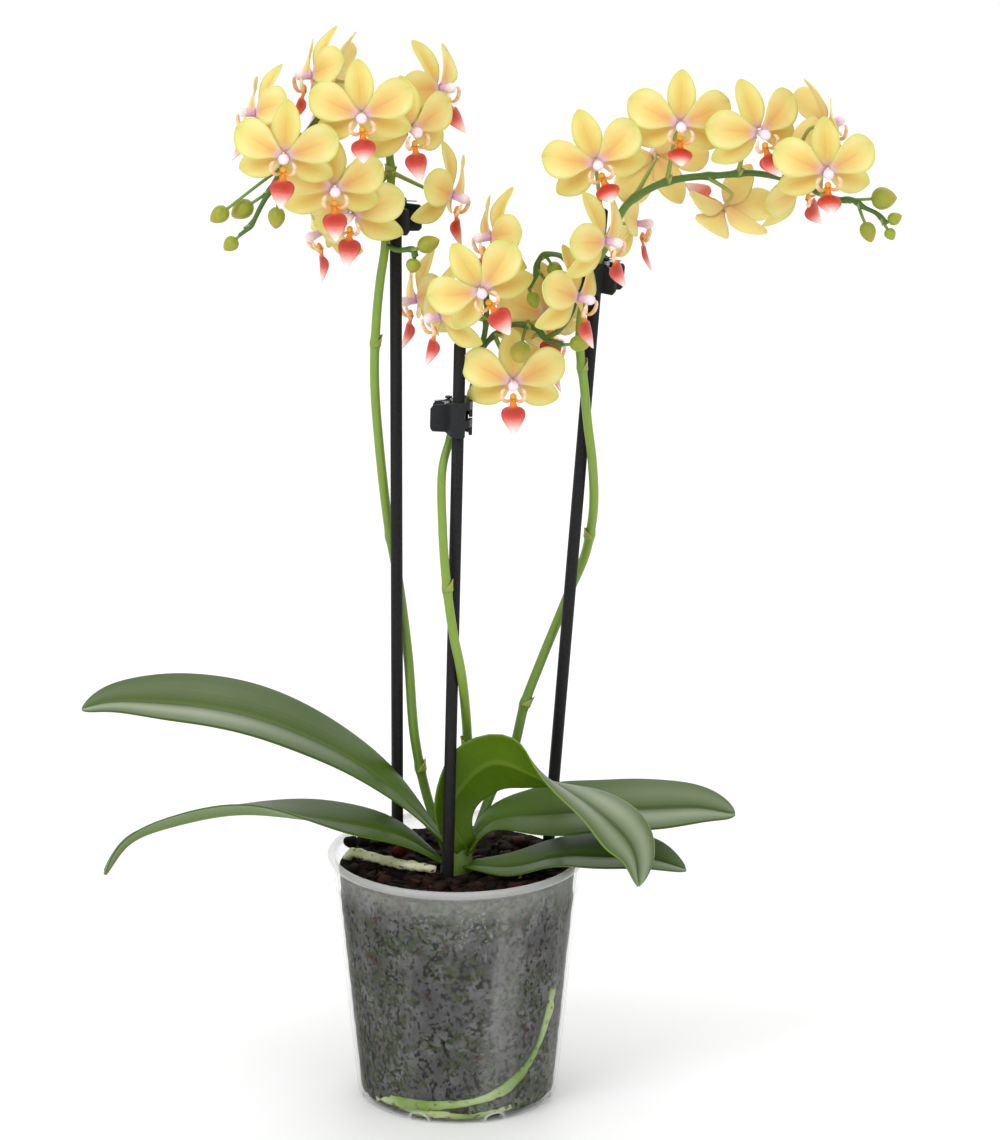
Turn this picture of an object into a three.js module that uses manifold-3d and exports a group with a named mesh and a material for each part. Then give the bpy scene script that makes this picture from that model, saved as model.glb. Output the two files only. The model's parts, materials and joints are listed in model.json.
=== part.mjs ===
// A moth orchid with three flower spikes in a clear 12 cm grow pot.
// Millimetres, +Z up. The origin is the centre of the pot's underside, the front of the plant looks along -Y.
import * as THREE from "three";
import { mergeVertices } from "three/addons/utils/BufferGeometryUtils.js";
import Module from "manifold-3d";

const wasm = await Module();
wasm.setup();

// ---------------------------------------------------------------- driving dimensions
const GAP = 0.35; // clearance left between two pieces that touch
const MERGE_TOLERANCE = 1e-4;

const POT_HEIGHT = 118;
const POT_RIM_RADIUS = 60;
const POT_FOOT_RADIUS = 46.5;
const POT_WALL = 1.2;
const POT_SEGMENTS = 24;
const RIM_HEIGHT = 3.2;
const RIM_OVERHANG = 2;
const RIM_ROUNDING = 0.5;
const SHOULDER_HEIGHT = 101; // a faint step runs round the wall here
const SHOULDER_STEP = 0.6;
const FOOT_ROUNDING = 3;
const DRAIN_SLOTS = 8;
const DRAIN_WIDTH = 9;
const DRAIN_HEIGHT = 4.5;
const DRAIN_INNER_RADIUS = 36;
const DRAIN_TOP_SHARE = 0.6; // width of a slot's top as a share of its foot

const MIX_TOP = 112;
const MIX_DISH = 5; // how much lower it lies at the middle
const MIX_BUMP = 1.4;
const MIX_SEGMENTS = 20;
const MIX_RINGS = [0.82, 0.6, 0.4, 0.2, 0]; // rings of points on its top, as shares of its radius
const MIX_WAVES = { x: 0.33, y: 0.29, shiftX: 1.1, shiftY: -0.4 };

const ROOT_SIDES = 5;
const WALL_ROOT_RADIUS = 1.7;
const WALL_ROOT_STEPS = 12;

const STAKE_RADIUS = 2.75;
const STAKE_FOOT_Z = 14;
const STAKE_SIDES = 7;

const CLIP_THICKNESS = 1.6;
const CLIP_HALF_HEIGHT = 8.2;
const CLIP_FINGERS = 4;
const CLIP_PIN_RADIUS = 0.9;
const CLIP_KNUCKLE_RADIUS = 2.1;

const STEM_RADIUS = 2.3;
const STEM_TIP_RADIUS = 0.9;
const BRANCH_RADIUS = 1.2;
const STEM_SIDES = 5;
const LEAF_THICKNESS = 1.4;
const TEPAL_THICKNESS = 0.7;
const LIP_THICKNESS = 0.9;
const PEDICEL_RADIUS = 0.95;
const PEDICEL_SIDES = 3;

// ---------------------------------------------------------------- vectors, solids and meshes
const degrees = THREE.MathUtils.degToRad;
const UP = new THREE.Vector3(0, 0, 1);
const vec = (x, y, z) => new THREE.Vector3(x, y, z);
const route = (points) => new THREE.CatmullRomCurve3(points.map((p) => vec(...p)));

// The closed surface of a geometry, as a solid that can be joined and cut.
function solid(geometry) {
  const bare = new THREE.BufferGeometry().setAttribute("position", geometry.getAttribute("position"));
  if (geometry.index) bare.setIndex(geometry.index);
  const merged = mergeVertices(bare, MERGE_TOLERANCE);
  return new wasm.Manifold(
    new wasm.Mesh({
      numProp: 3,
      vertProperties: new Float32Array(merged.attributes.position.array),
      triVerts: new Uint32Array(merged.index.array),
    }),
  );
}

const join = (solids) => solids.reduce((whole, piece) => whole.add(piece));

function placed(piece, matrix) {
  return piece.transform(matrix.elements);
}

function geometryOf(piece) {
  const mesh = piece.getMesh();
  const geometry = new THREE.BufferGeometry();
  geometry.setAttribute("position", new THREE.BufferAttribute(new Float32Array(mesh.vertProperties), 3));
  geometry.setIndex(new THREE.BufferAttribute(new Uint32Array(mesh.triVerts), 1));
  geometry.computeVertexNormals();
  return geometry;
}

const MATERIALS = {
  pot: { color: "#d9dcda", roughness: 0.25, metalness: 0, transparent: true, opacity: 0.45 },
  mix: { color: "#3a2a20", roughness: 0.95, metalness: 0 },
  root: { color: "#b5b98a", roughness: 0.7, metalness: 0 },
  stake: { color: "#1e1a1c", roughness: 0.45, metalness: 0 },
  clip: { color: "#35352f", roughness: 0.4, metalness: 0 },
  spring: { color: "#8f9296", roughness: 0.3, metalness: 1 },
  leaf: { color: "#4e7a2c", roughness: 0.38, metalness: 0 },
  stem: { color: "#6b8f35", roughness: 0.5, metalness: 0 },
  petal: { color: "#f7dd78", roughness: 0.6, metalness: 0 },
};

const orchid = new THREE.Group();

function addMesh(name, piece, material) {
  const mesh = new THREE.Mesh(geometryOf(piece), new THREE.MeshStandardMaterial(MATERIALS[material]));
  mesh.name = name;
  orchid.add(mesh);
}

// ---------------------------------------------------------------- shapes that several pieces share

// A tube of changing radius along a curve, closed at both ends.
function tube(curve, radiusAt, steps, sides) {
  const frames = curve.computeFrenetFrames(steps, false);
  const positions = [];
  const index = [];
  for (let i = 0; i <= steps; i++) {
    const centre = curve.getPointAt(i / steps);
    for (let j = 0; j < sides; j++) {
      const turn = (2 * Math.PI * j) / sides;
      const point = centre
        .clone()
        .addScaledVector(frames.normals[i], radiusAt(i / steps) * Math.cos(turn))
        .addScaledVector(frames.binormals[i], radiusAt(i / steps) * Math.sin(turn));
      positions.push(point.x, point.y, point.z);
    }
  }
  for (let i = 0; i < steps; i++) {
    for (let j = 0; j < sides; j++) {
      const a = i * sides + j;
      const b = i * sides + ((j + 1) % sides);
      index.push(a, b, b + sides, a, b + sides, a + sides);
    }
  }
  const last = steps * sides;
  for (let j = 1; j < sides - 1; j++) {
    index.push(0, j + 1, j, last, last + j, last + j + 1);
  }
  const geometry = new THREE.BufferGeometry();
  geometry.setAttribute("position", new THREE.Float32BufferAttribute(positions, 3));
  geometry.setIndex(index);
  return solid(geometry);
}

// A sheet made solid: both faces carry the same triangles, and a rim closes every free edge.
function thicken(points, faces, thickness) {
  const sheet = new THREE.BufferGeometry().setFromPoints(points).setIndex(faces.flat());
  sheet.computeVertexNormals();
  const normals = sheet.getAttribute("normal");
  const shifted = (side) =>
    points.map((point, i) =>
      point.clone().addScaledVector(vec(0, 0, 0).fromBufferAttribute(normals, i), (side * thickness) / 2),
    );
  const n = points.length;
  const edges = new Set(faces.flatMap(([a, b, c]) => [`${a} ${b}`, `${b} ${c}`, `${c} ${a}`]));
  const index = [];
  for (const [a, b, c] of faces) {
    index.push(a, b, c, a + n, c + n, b + n);
    for (const [from, to] of [[a, b], [b, c], [c, a]]) {
      if (!edges.has(`${to} ${from}`)) index.push(to, from, from + n, to, from + n, to + n);
    }
  }
  return solid(new THREE.BufferGeometry().setFromPoints([...shifted(1), ...shifted(-1)]).setIndex(index));
}

// The triangles between two rows of numbered points, which may differ in length.
function zip(lower, upper) {
  const faces = [];
  const next = (row, k) => (k < row.length - 1 ? (k + 1) / (row.length - 1) : Infinity);
  let [i, j] = [0, 0];
  while (i < lower.length - 1 || j < upper.length - 1) {
    if (next(upper, j) < next(lower, i)) faces.push([lower[i], upper[j], upper[++j]]);
    else faces.push([lower[i], upper[j], lower[++i]]);
  }
  return faces;
}

// A sheet of one or more lobes. Each lobe holds its rows of points from root to tip, and the last row is the
// single point of the tip. Several lobes go anticlockwise round the flat middle that their roots enclose.
function lobedSheet(lobes, thickness) {
  const points = [];
  const numbered = lobes.map((rows) => rows.map((row) => row.map((point) => points.push(point) - 1)));
  const faces = numbered.flatMap((rows) => rows.slice(1).flatMap((row, i) => zip(rows[i], row)));
  if (lobes.length > 1) {
    const middle = numbered.flatMap((rows) => rows[0]);
    for (let k = 1; k < middle.length - 1; k++) faces.push([middle[0], middle[k], middle[k + 1]]);
  }
  return thicken(points, faces, thickness);
}

const polygon = (points) => new THREE.Shape(points.map(([x, y]) => new THREE.Vector2(x, y)));

// A flat outline in X and Y made solid from one height to another.
function extruded(outline, low, high) {
  const block = new THREE.ExtrudeGeometry(outline, { depth: high - low, bevelEnabled: false });
  return solid(block.translate(0, 0, low));
}

// A turned solid about +Z from a profile of [radius, height] points.
function turned(profile, segments) {
  const points = profile.map(([radius, height]) => new THREE.Vector2(radius, height));
  return solid(new THREE.LatheGeometry(points, segments).rotateX(Math.PI / 2));
}

// ---------------------------------------------------------------- the crown that leaves and spikes grow from
const CROWN_PROFILE = [
  [0, 90],
  [6, 91],
  [8, 102],
  [7.5, 112],
  [5.5, 122],
  [0, 126],
];
const CROWN_SEGMENTS = 10;
const crownGrown = (extra) =>
  turned(
    CROWN_PROFILE.map(([radius, height], i) => {
      const end = i === 0 ? -extra : i === CROWN_PROFILE.length - 1 ? extra : 0;
      return [radius ? radius + extra : 0, height + end];
    }),
    CROWN_SEGMENTS,
  );

// ---------------------------------------------------------------- stakes
const STAKES = {
  stake_left: { foot: [-28, 14], top: [-27, 14, 428] },
  stake_middle: { foot: [-6.5, -21.5], top: [2, -6, 362] },
  stake_right: { foot: [35, 25], top: [66, 9.5, 420] },
};

function stakeLine({ foot, top }) {
  return new THREE.LineCurve3(vec(foot[0], foot[1], STAKE_FOOT_Z), vec(...top));
}

const stake = (line, extra) => tube(line, () => STAKE_RADIUS + extra, 1, STAKE_SIDES);

// ---------------------------------------------------------------- clips
// A clip is a pair of sprung jaws that closes round a stake and its stem. In its own frame the hinge pin
// stands along +Z, the claws reach to +X and the finger pads to -X, and the fixed jaw is on the +Y side. A
// clip's place is the height on its stake, where the stake lies in the clip's frame, and the compass angle of
// its claws.
const CLIPS = {
  clip_left: { on: "stake_left", height: 416, stakeAt: [5, -4], turn: 150 },
  clip_middle: { on: "stake_middle", height: 327, stakeAt: [5, -3.8], turn: -6 },
  clip_right: { on: "stake_right", height: 390, stakeAt: [5, -4], turn: 160 },
};
const JAW_ROUTE = [
  [-7.5, 5.8],
  [-0.6, 3.7],
  [2.6, 8],
  [6.8, 8.3],
  [9.6, 5],
  [10.3, -0.4],
];
const JAW_OUTLINE = [
  [-8.6, 3],
  [-6.4, 6],
  [-1, 6.4],
  [4, CLIP_HALF_HEIGHT],
  [12, CLIP_HALF_HEIGHT],
];
const FINGER_START = 8.4;
const FINGER_GAP = 0.4;
const KNUCKLE_LEVELS = [
  [-5.2, -2.6],
  [2.6, 5.2],
];
const LUG = [
  [-1.2, 0],
  [1.2, 0],
  [1.2, 4],
  [-1.2, 3.4],
];
const PIN_FOOT = -6.2;
const SPRING_LEVELS = [5.6, 8.2];
const PIN_HEAD = { radius: 1.8, levels: [8.55, 9.4] };
const CLIP_SIDES = 6;
const CLIP_REACH = 12; // cuts run this far, past every edge of a clip

const disc = (radius, low, high) =>
  turned([[0, low], [radius, low], [radius, high], [0, high]], CLIP_SIDES);

// The plan of a jaw's plate: a band of even thickness along its route.
function jawPlan() {
  const side = (offset) =>
    JAW_ROUTE.map(([x, y], i) => {
      const before = JAW_ROUTE[Math.max(i - 1, 0)];
      const after = JAW_ROUTE[Math.min(i + 1, JAW_ROUTE.length - 1)];
      const along = new THREE.Vector2(after[0] - before[0], after[1] - before[1]).normalize();
      return [x - along.y * offset, y + along.x * offset];
    });
  return polygon([...side(-CLIP_THICKNESS / 2), ...side(CLIP_THICKNESS / 2).reverse()]);
}

// A jaw on the +Y side, with every second finger from the given one.
function jawPlate(firstFinger) {
  const lower = JAW_OUTLINE.map(([x, height]) => [x, -height]).reverse();
  const outline = extruded(polygon([...lower, ...JAW_OUTLINE].reverse()), -CLIP_REACH, CLIP_REACH);
  const upright = placed(outline, new THREE.Matrix4().makeRotationX(Math.PI / 2));
  let plate = extruded(jawPlan(), -CLIP_HALF_HEIGHT, CLIP_HALF_HEIGHT).intersect(upright);
  const pitch = (2 * CLIP_HALF_HEIGHT) / CLIP_FINGERS;
  const slot = polygon([
    [FINGER_START, -CLIP_REACH],
    [CLIP_REACH, -CLIP_REACH],
    [CLIP_REACH, CLIP_REACH],
    [FINGER_START, CLIP_REACH],
  ]);
  for (let i = 1 - firstFinger; i < CLIP_FINGERS; i += 2) {
    const low = -CLIP_HALF_HEIGHT + i * pitch - FINGER_GAP / 2;
    plate = plate.subtract(extruded(slot, low, low + pitch + FINGER_GAP));
  }
  return plate;
}

// A ring of the hinge with the lug that carries it on the jaw's plate.
const knuckle = (low, high) => disc(CLIP_KNUCKLE_RADIUS, low, high).add(extruded(polygon(LUG), low, high));

function fixedJaw() {
  const knuckles = KNUCKLE_LEVELS.map(([low, high]) => knuckle(low, high));
  const bore = disc(CLIP_PIN_RADIUS + GAP, -CLIP_REACH, CLIP_REACH);
  return join([jawPlate(0), ...knuckles]).subtract(bore);
}

function swingingJaw() {
  const level = KNUCKLE_LEVELS[1][0] - GAP;
  const half = placed(jawPlate(1).add(knuckle(-level, level)), new THREE.Matrix4().makeScale(1, -1, 1));
  const pin = disc(CLIP_PIN_RADIUS, PIN_FOOT, PIN_HEAD.levels[1]);
  return join([half, pin, disc(PIN_HEAD.radius, ...PIN_HEAD.levels)]);
}

function clipSpring() {
  const [low, high] = SPRING_LEVELS;
  const bore = disc(CLIP_PIN_RADIUS + GAP, -CLIP_REACH, CLIP_REACH);
  return disc(CLIP_KNUCKLE_RADIUS, low, high).subtract(bore);
}

function clipMatrix({ on, height, stakeAt, turn }) {
  const line = stakeLine(STAKES[on]);
  const upright = line.v2.clone().sub(line.v1).normalize();
  const centre = line.v1.clone().addScaledVector(upright, (height - line.v1.z) / upright.z);
  const claws = vec(Math.cos(degrees(turn)), Math.sin(degrees(turn)), 0);
  claws.addScaledVector(upright, -claws.dot(upright)).normalize();
  const side = upright.clone().cross(claws);
  centre.addScaledVector(claws, -stakeAt[0]).addScaledVector(side, -stakeAt[1]);
  return new THREE.Matrix4().makeBasis(claws, side, upright).setPosition(centre);
}

// ---------------------------------------------------------------- leaves
// Each station is a point of the midrib and the leaf's roll there: degrees that its right-hand edge, seen
// along the leaf from above, is lifted. The heading is the compass angle of its middle line, 0 along +X.
const LEAVES = {
  leaf_upper_left: {
    width: 49,
    heading: 187,
    stations: [
      [-4, -1, 119, 0],
      [-28, -4, 147.5, 13],
      [-54, -7, 167.5, 12],
      [-88, -10, 184, 12],
      [-111, -12, 190.5, 12],
      [-135, -14, 194, 12],
      [-158, -16, 195, 8],
      [-171, -17, 192, 4],
    ],
  },
  leaf_lower_left: {
    width: 44,
    heading: 191,
    stations: [
      [-5, -4, 112, 0],
      [-26, -9, 127.5, 20],
      [-54, -15, 136.5, 7],
      [-76, -20, 141.5, -7],
      [-99, -24, 144.5, -18],
      [-126, -28, 141, -22],
      [-149, -31, 133, -20],
      [-161, -33, 118, -12],
    ],
  },
  leaf_folded: {
    rows: 16,
    width: 44,
    heading: 0,
    stations: [
      [4, -5, 121, 62],
      [-3.6, -6.3, 138.7, 53],
      [12, -6.8, 156, 66],
      [20.3, -12.2, 163.7, 64],
      [32.8, -18.8, 162.2, 37],
      [48.7, -26.6, 156.9, 8],
      [65, -36, 148.4, -10],
      [80, -44.5, 134.4, -34],
      [83, -50.5, 118.3, -26],
    ],
  },
  leaf_upper_right: {
    width: 44,
    heading: 2,
    stations: [
      [5, -2.5, 117, 0],
      [15.4, 0, 131.7, -13],
      [40.6, -0.5, 135.1, -22],
      [65.2, 2, 136.1, -13],
      [89.1, 3.7, 136.5, -14],
      [112.5, 6.8, 136.1, -13],
      [129, 7, 133, -11],
    ],
  },
  leaf_lower_right: {
    width: 44,
    heading: -12,
    stations: [
      [5, -5, 112, 0],
      [26.3, -12.6, 114, -5],
      [47.3, -17, 120.4, -2],
      [68.4, -19.5, 121.3, -4],
      [89.7, -20, 120.4, -1],
      [105.5, -21, 115.6, 7],
    ],
  },
};
const LEAF_ROWS = 10; // rows of points along a leaf, where it doesn't give its own
const LEAF_ROOT_SHARE = 0.24; // width of the root as a share of the full width
const LEAF_WIDEST = 0.6; // how far along the leaf it is widest
const LEAF_FOLD = 0.34; // rise of the blade beside the midrib, as a share of the half width
const LEAF_DROOP = 0.16; // and how much of it the edge loses again
const LEAF_TAPER = 1.1; // above 1 the blade widens more slowly from its root
const LEAF_BLUNTNESS = 2.4; // above 2 the tip is rounder than an ellipse
const LEAF_ACROSS = [-1, -0.5, 0, 0.5, 1];

function leafHalfWidth(width, u) {
  if (u < LEAF_WIDEST) {
    const share = Math.sin((Math.PI / 2) * (u / LEAF_WIDEST) ** LEAF_TAPER);
    return (width / 2) * (LEAF_ROOT_SHARE + (1 - LEAF_ROOT_SHARE) * share);
  }
  const past = (u - LEAF_WIDEST) / (1 - LEAF_WIDEST);
  return (width / 2) * Math.sqrt(1 - past ** LEAF_BLUNTNESS);
}

function leafFrame(leaf) {
  const { stations } = leaf;
  const curve = route(stations.map(([x, y, z]) => [x, y, z]));
  const rightHand = vec(Math.sin(degrees(leaf.heading)), -Math.cos(degrees(leaf.heading)), 0);
  return (u) => {
    const t = curve.getUtoTmapping(u) * (stations.length - 1);
    const i = Math.min(Math.floor(t), stations.length - 2);
    const roll = degrees(THREE.MathUtils.lerp(stations[i][3], stations[i + 1][3], t - i));
    const tangent = curve.getTangentAt(u);
    const level = rightHand.clone().addScaledVector(tangent, -rightHand.dot(tangent)).normalize();
    const lift = level.clone().cross(tangent);
    const across = level.clone().multiplyScalar(Math.cos(roll)).addScaledVector(lift, Math.sin(roll));
    return { centre: curve.getPointAt(u), across, normal: across.clone().cross(tangent) };
  };
}

function leafBlade(leaf) {
  const frame = leafFrame(leaf);
  const steps = leaf.rows ?? LEAF_ROWS;
  const rows = [];
  for (let i = 0; i < steps; i++) {
    const u = Math.sin((Math.PI / 2) * (i / steps));
    const { centre, across, normal } = frame(u);
    const half = leafHalfWidth(leaf.width, u);
    rows.push(
      LEAF_ACROSS.map((s) => {
        const rise = half * (LEAF_FOLD * Math.abs(s) - LEAF_DROOP * s * s);
        return centre.clone().addScaledVector(across, s * half).addScaledVector(normal, rise);
      }),
    );
  }
  rows.push([frame(1).centre]);
  return lobedSheet([rows], LEAF_THICKNESS);
}

// ---------------------------------------------------------------- flower spikes
// main is the spike's own stem and branches are its side stems, as points; a node number counts along a
// stem's points. Buds are [stem, node, centre, length, thickness].
const SPIKES = {
  spike_left: {
    stems: {
      main: [
        [-4, 5, 114],
        [-9, 10, 126],
        [-14, 14, 140],
        [-19.5, 13, 169],
        [-22.5, 18, 207],
        [-27, 22, 243],
        [-31, 21, 267],
        [-35, 17, 306],
        [-37, 13, 340],
        [-36, 10, 368],
        [-34, 8, 388],
        [-32, 7, 401],
        [-31, 7, 416],
        [-29, 7, 430],
        [-30, 7, 448],
        [-35, 9, 463],
        [-44, 12, 469],
        [-54, 13, 468],
        [-64, 11, 458],
        [-72, 9, 447],
        [-80, 6, 435],
        [-87, 4, 423],
        [-92, 2, 414],
        [-97, 0, 410],
      ],
      low: [
        [-31.5, 7, 404],
        [-26, 1, 403],
        [-19, -3, 404],
        [-18, -3, 401],
      ],
    },
    buds: [
      ["main", 19.5, [-106, 2, 419], 10, 8],
      ["main", 20.5, [-96, 8, 420], 12, 9],
      ["main", 19.8, [-80, -4, 419], 10.5, 8],
      ["main", 22, [-101, 0, 406], 8, 7],
      ["low", 2, [-12, -4, 407], 11, 8],
      ["low", 3, [-19, -4, 397], 7, 7],
    ],
  },
  spike_middle: {
    stems: {
      main: [
        [0, 6.5, 114],
        [2, 12, 126],
        [4, 10, 137],
        [5, 7, 155],
        [5, 2, 170],
        [4, -8, 191],
        [2, -18, 212],
        [-1, -20, 228],
        [-4, -19, 250],
        [-6, -15, 277],
        [-6, -8, 304],
        [-2, -0.5, 317],
        [2, 0, 327],
        [6, 0.5, 334],
        [8, 0, 341],
        [9, 0, 350],
        [11, 0, 357],
        [13, 1, 364],
        [14, 3, 375],
        [13, 5, 386],
        [10, 6, 396],
      ],
      right: [
        [10, 0, 354],
        [15, 2, 361],
        [20, 3, 365],
        [26, 3, 368],
        [36, 0, 367],
        [41, -5, 363],
        [48, -6, 361],
      ],
      tip: [
        [40, -5, 363.5],
        [47, -9, 369],
        [53, -9, 379],
        [53, -8, 391],
        [48, -4, 401],
        [40, 0, 401],
        [37, 2, 397],
        [36, 2, 391],
        [33, 2, 386],
      ],
    },
    buds: [
      ["right", 6, [56, -8, 362], 10, 7.5],
      ["right", 3.6, [29, -21, 361], 13, 9.5],
      ["tip", 8, [35, 1, 380], 8, 6],
      ["tip", 5, [45, 4, 393], 9, 7],
      ["tip", 6.5, [44, 6, 383], 9, 7],
    ],
  },
  spike_right: {
    stems: {
      main: [
        [5, 4.5, 114],
        [10.5, 11, 127],
        [16, 15, 141],
        [25.5, 15, 160],
        [31.5, 17, 184],
        [39, 22, 203],
        [46.5, 26, 221],
        [53, 28, 237],
        [59, 27, 252],
        [62, 22, 268],
        [63, 16, 283],
        [62, 10, 303],
        [60, 5, 320],
        [58, 3, 340],
        [56, 3, 359],
        [57, 3, 375],
        [61, 3.3, 390],
        [66, 2, 402],
        [70, 1, 411],
        [77, 1, 424],
        [85, 1, 430],
        [94, 2, 434],
        [105, 3, 436],
        [119, 3, 437],
        [132, 3, 438],
        [145, 3, 436],
        [154, 3, 433],
        [172, 2, 426],
        [178, 1, 426],
        [183, 0, 423],
        [189, 0, 420],
        [193, -1, 416],
      ],
    },
    buds: [
      ["main", 27.5, [192, 0, 427], 12, 10.5],
      ["main", 31, [197, -1, 418], 7, 6],
      ["main", 30.5, [195, -2, 411], 6, 5.5],
      ["main", 28.5, [185, -2, 412], 10, 7.5],
    ],
  },
};
const STEM_STEPS = 26;
const BRANCH_STEPS = 7;
const BUD_SIDES = 5;
const BUD_STALK_RADIUS = 0.8;
const BUD_SHAPE = [
  [0.48, 0.3],
  [0.42, 0.68],
]; // radius as a share of its thickness, height as a share of its length

const stemRadius = (u) => THREE.MathUtils.lerp(STEM_RADIUS, STEM_TIP_RADIUS, u ** 2);

for (const spike of Object.values(SPIKES)) {
  for (const [name, points] of Object.entries(spike.stems)) {
    const curve = route(points);
    curve.nodes = points.length - 1;
    curve.radiusAt = name === "main" ? stemRadius : () => BRANCH_RADIUS;
    spike.stems[name] = curve;
  }
}

const stemPoint = (curve, node) => curve.getPoint(node / curve.nodes);

// A bud and its stalk are turned in one piece, from a stem's node out to the bud.
function bud(stem, node, centre, length, thickness) {
  const foot = stemPoint(stem, node);
  const reach = vec(...centre).sub(foot);
  const stalk = reach.length() - length / 2;
  const profile = [
    [0, 0],
    [BUD_STALK_RADIUS, 0],
    [BUD_STALK_RADIUS, stalk],
    ...BUD_SHAPE.map(([across, along]) => [thickness * across, stalk + length * along]),
    [0, stalk + length],
  ];
  const turn = new THREE.Quaternion().setFromUnitVectors(UP, reach.normalize());
  return placed(turned(profile, BUD_SIDES), new THREE.Matrix4().compose(foot, turn, vec(1, 1, 1)));
}

function spikeSolid({ stems, buds }) {
  const stemTubes = Object.entries(stems).map(([name, curve]) =>
    tube(curve, curve.radiusAt, name === "main" ? STEM_STEPS : BRANCH_STEPS, STEM_SIDES),
  );
  const budSolids = buds.map(([stem, ...rest]) => bud(stems[stem], ...rest));
  return join([...stemTubes, ...budSolids]).subtract(crownGrown(GAP));
}

// ---------------------------------------------------------------- blooms
// A bloom faces along its own +Z with its dorsal sepal up along +Y. Its three sepals share one sheet, its two
// petals another in front of it, and the lip's three lobes a third.
const SEPAL = { width: 13, widest: [0.4, 0.76], across: [1, -1], lift: -0.7 };
const PETAL = { width: 18.5, widest: [0.32, 0.76], across: [1, 0, -1], lift: 1.4, sweep: 6 };
const SEPALS = [
  { ...SEPAL, turn: 0, length: 22.5, sweep: 6.5 },
  { ...SEPAL, turn: 113, length: 21.5, sweep: 8.5 },
  { ...SEPAL, turn: -113, length: 21.5, sweep: 8.5 },
];
const PETALS = [
  { ...PETAL, turn: 66, length: 22 },
  { ...PETAL, turn: -66, length: 22 },
];
const TEPAL_ROOT = 1.5; // where a blade starts, from the middle of the bloom
const TEPAL_ROOT_HALF = 1.7;
const TEPAL_CUP = 1.5;
const TEPAL_CURL = 2.2;

const TEPAL_LEAN = 0.82; // below 1 the widest part moves to the root
const TEPAL_FULLNESS = 0.62; // below 1 the sides bulge

// Half width of a tepal at the share u of its length.
const tepalHalf = (width, u) => (width / 2) * Math.sin(Math.PI * u ** TEPAL_LEAN) ** TEPAL_FULLNESS;

function tepal({ turn, length, width, widest, across, lift, sweep }) {
  const spin = new THREE.Matrix4().makeRotationZ(degrees(turn));
  const row = (u, half) =>
    across.map((s) => {
      const cup = TEPAL_CUP * s * s * Math.sin(Math.PI * u);
      const height = lift + cup + TEPAL_CURL * u * (1 - u) - sweep * u ** 1.5;
      return vec(s * half, TEPAL_ROOT + u * length, height).applyMatrix4(spin);
    });
  const tip = vec(0, TEPAL_ROOT + length, lift - sweep).applyMatrix4(spin);
  const root = row(0, TEPAL_ROOT_HALF);
  return [[root[0], root[across.length - 1]], ...widest.map((u) => row(u, tepalHalf(width, u))), [tip]];
}

// The lip hangs below the column: a spade that ends in a point, between two side lobes that curl forward.
function lip() {
  const middleLobe = [
    [vec(-1.4, -6.5, 3.6), vec(1.4, -6.5, 3.6)],
    [vec(-5.5, -13.5, 4), vec(0, -13.5, 6), vec(5.5, -13.5, 4)],
    [vec(0, -22, 8.6)],
  ];
  const rightLobe = [[vec(1.7, -4.6, 3.9), vec(1.3, -0.9, 2.4)], [vec(6.6, -4.6, 9.2)]];
  const leftLobe = [[vec(-1.3, -0.9, 2.4), vec(-1.7, -4.6, 3.9)], [vec(-6.6, -4.6, 9.2)]];
  return lobedSheet([middleLobe, rightLobe, leftLobe], LIP_THICKNESS);
}

const PETAL_BITE = 0.1; // how far the column and the flower stalk each reach into the petals
const COLUMN_SIDES = 5;
const COLUMN_PROFILE = [
  [0, PETAL.lift - PETAL_BITE],
  [1.3, PETAL.lift - PETAL_BITE],
  [2.1, 3.6],
  [2.2, 7.4],
  [0, 9.4],
];

function flowerHead() {
  return join([
    turned(COLUMN_PROFILE, COLUMN_SIDES),
    lobedSheet(SEPALS.map(tepal), TEPAL_THICKNESS),
    lobedSheet(PETALS.map(tepal), TEPAL_THICKNESS),
    lip(),
  ]);
}

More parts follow.
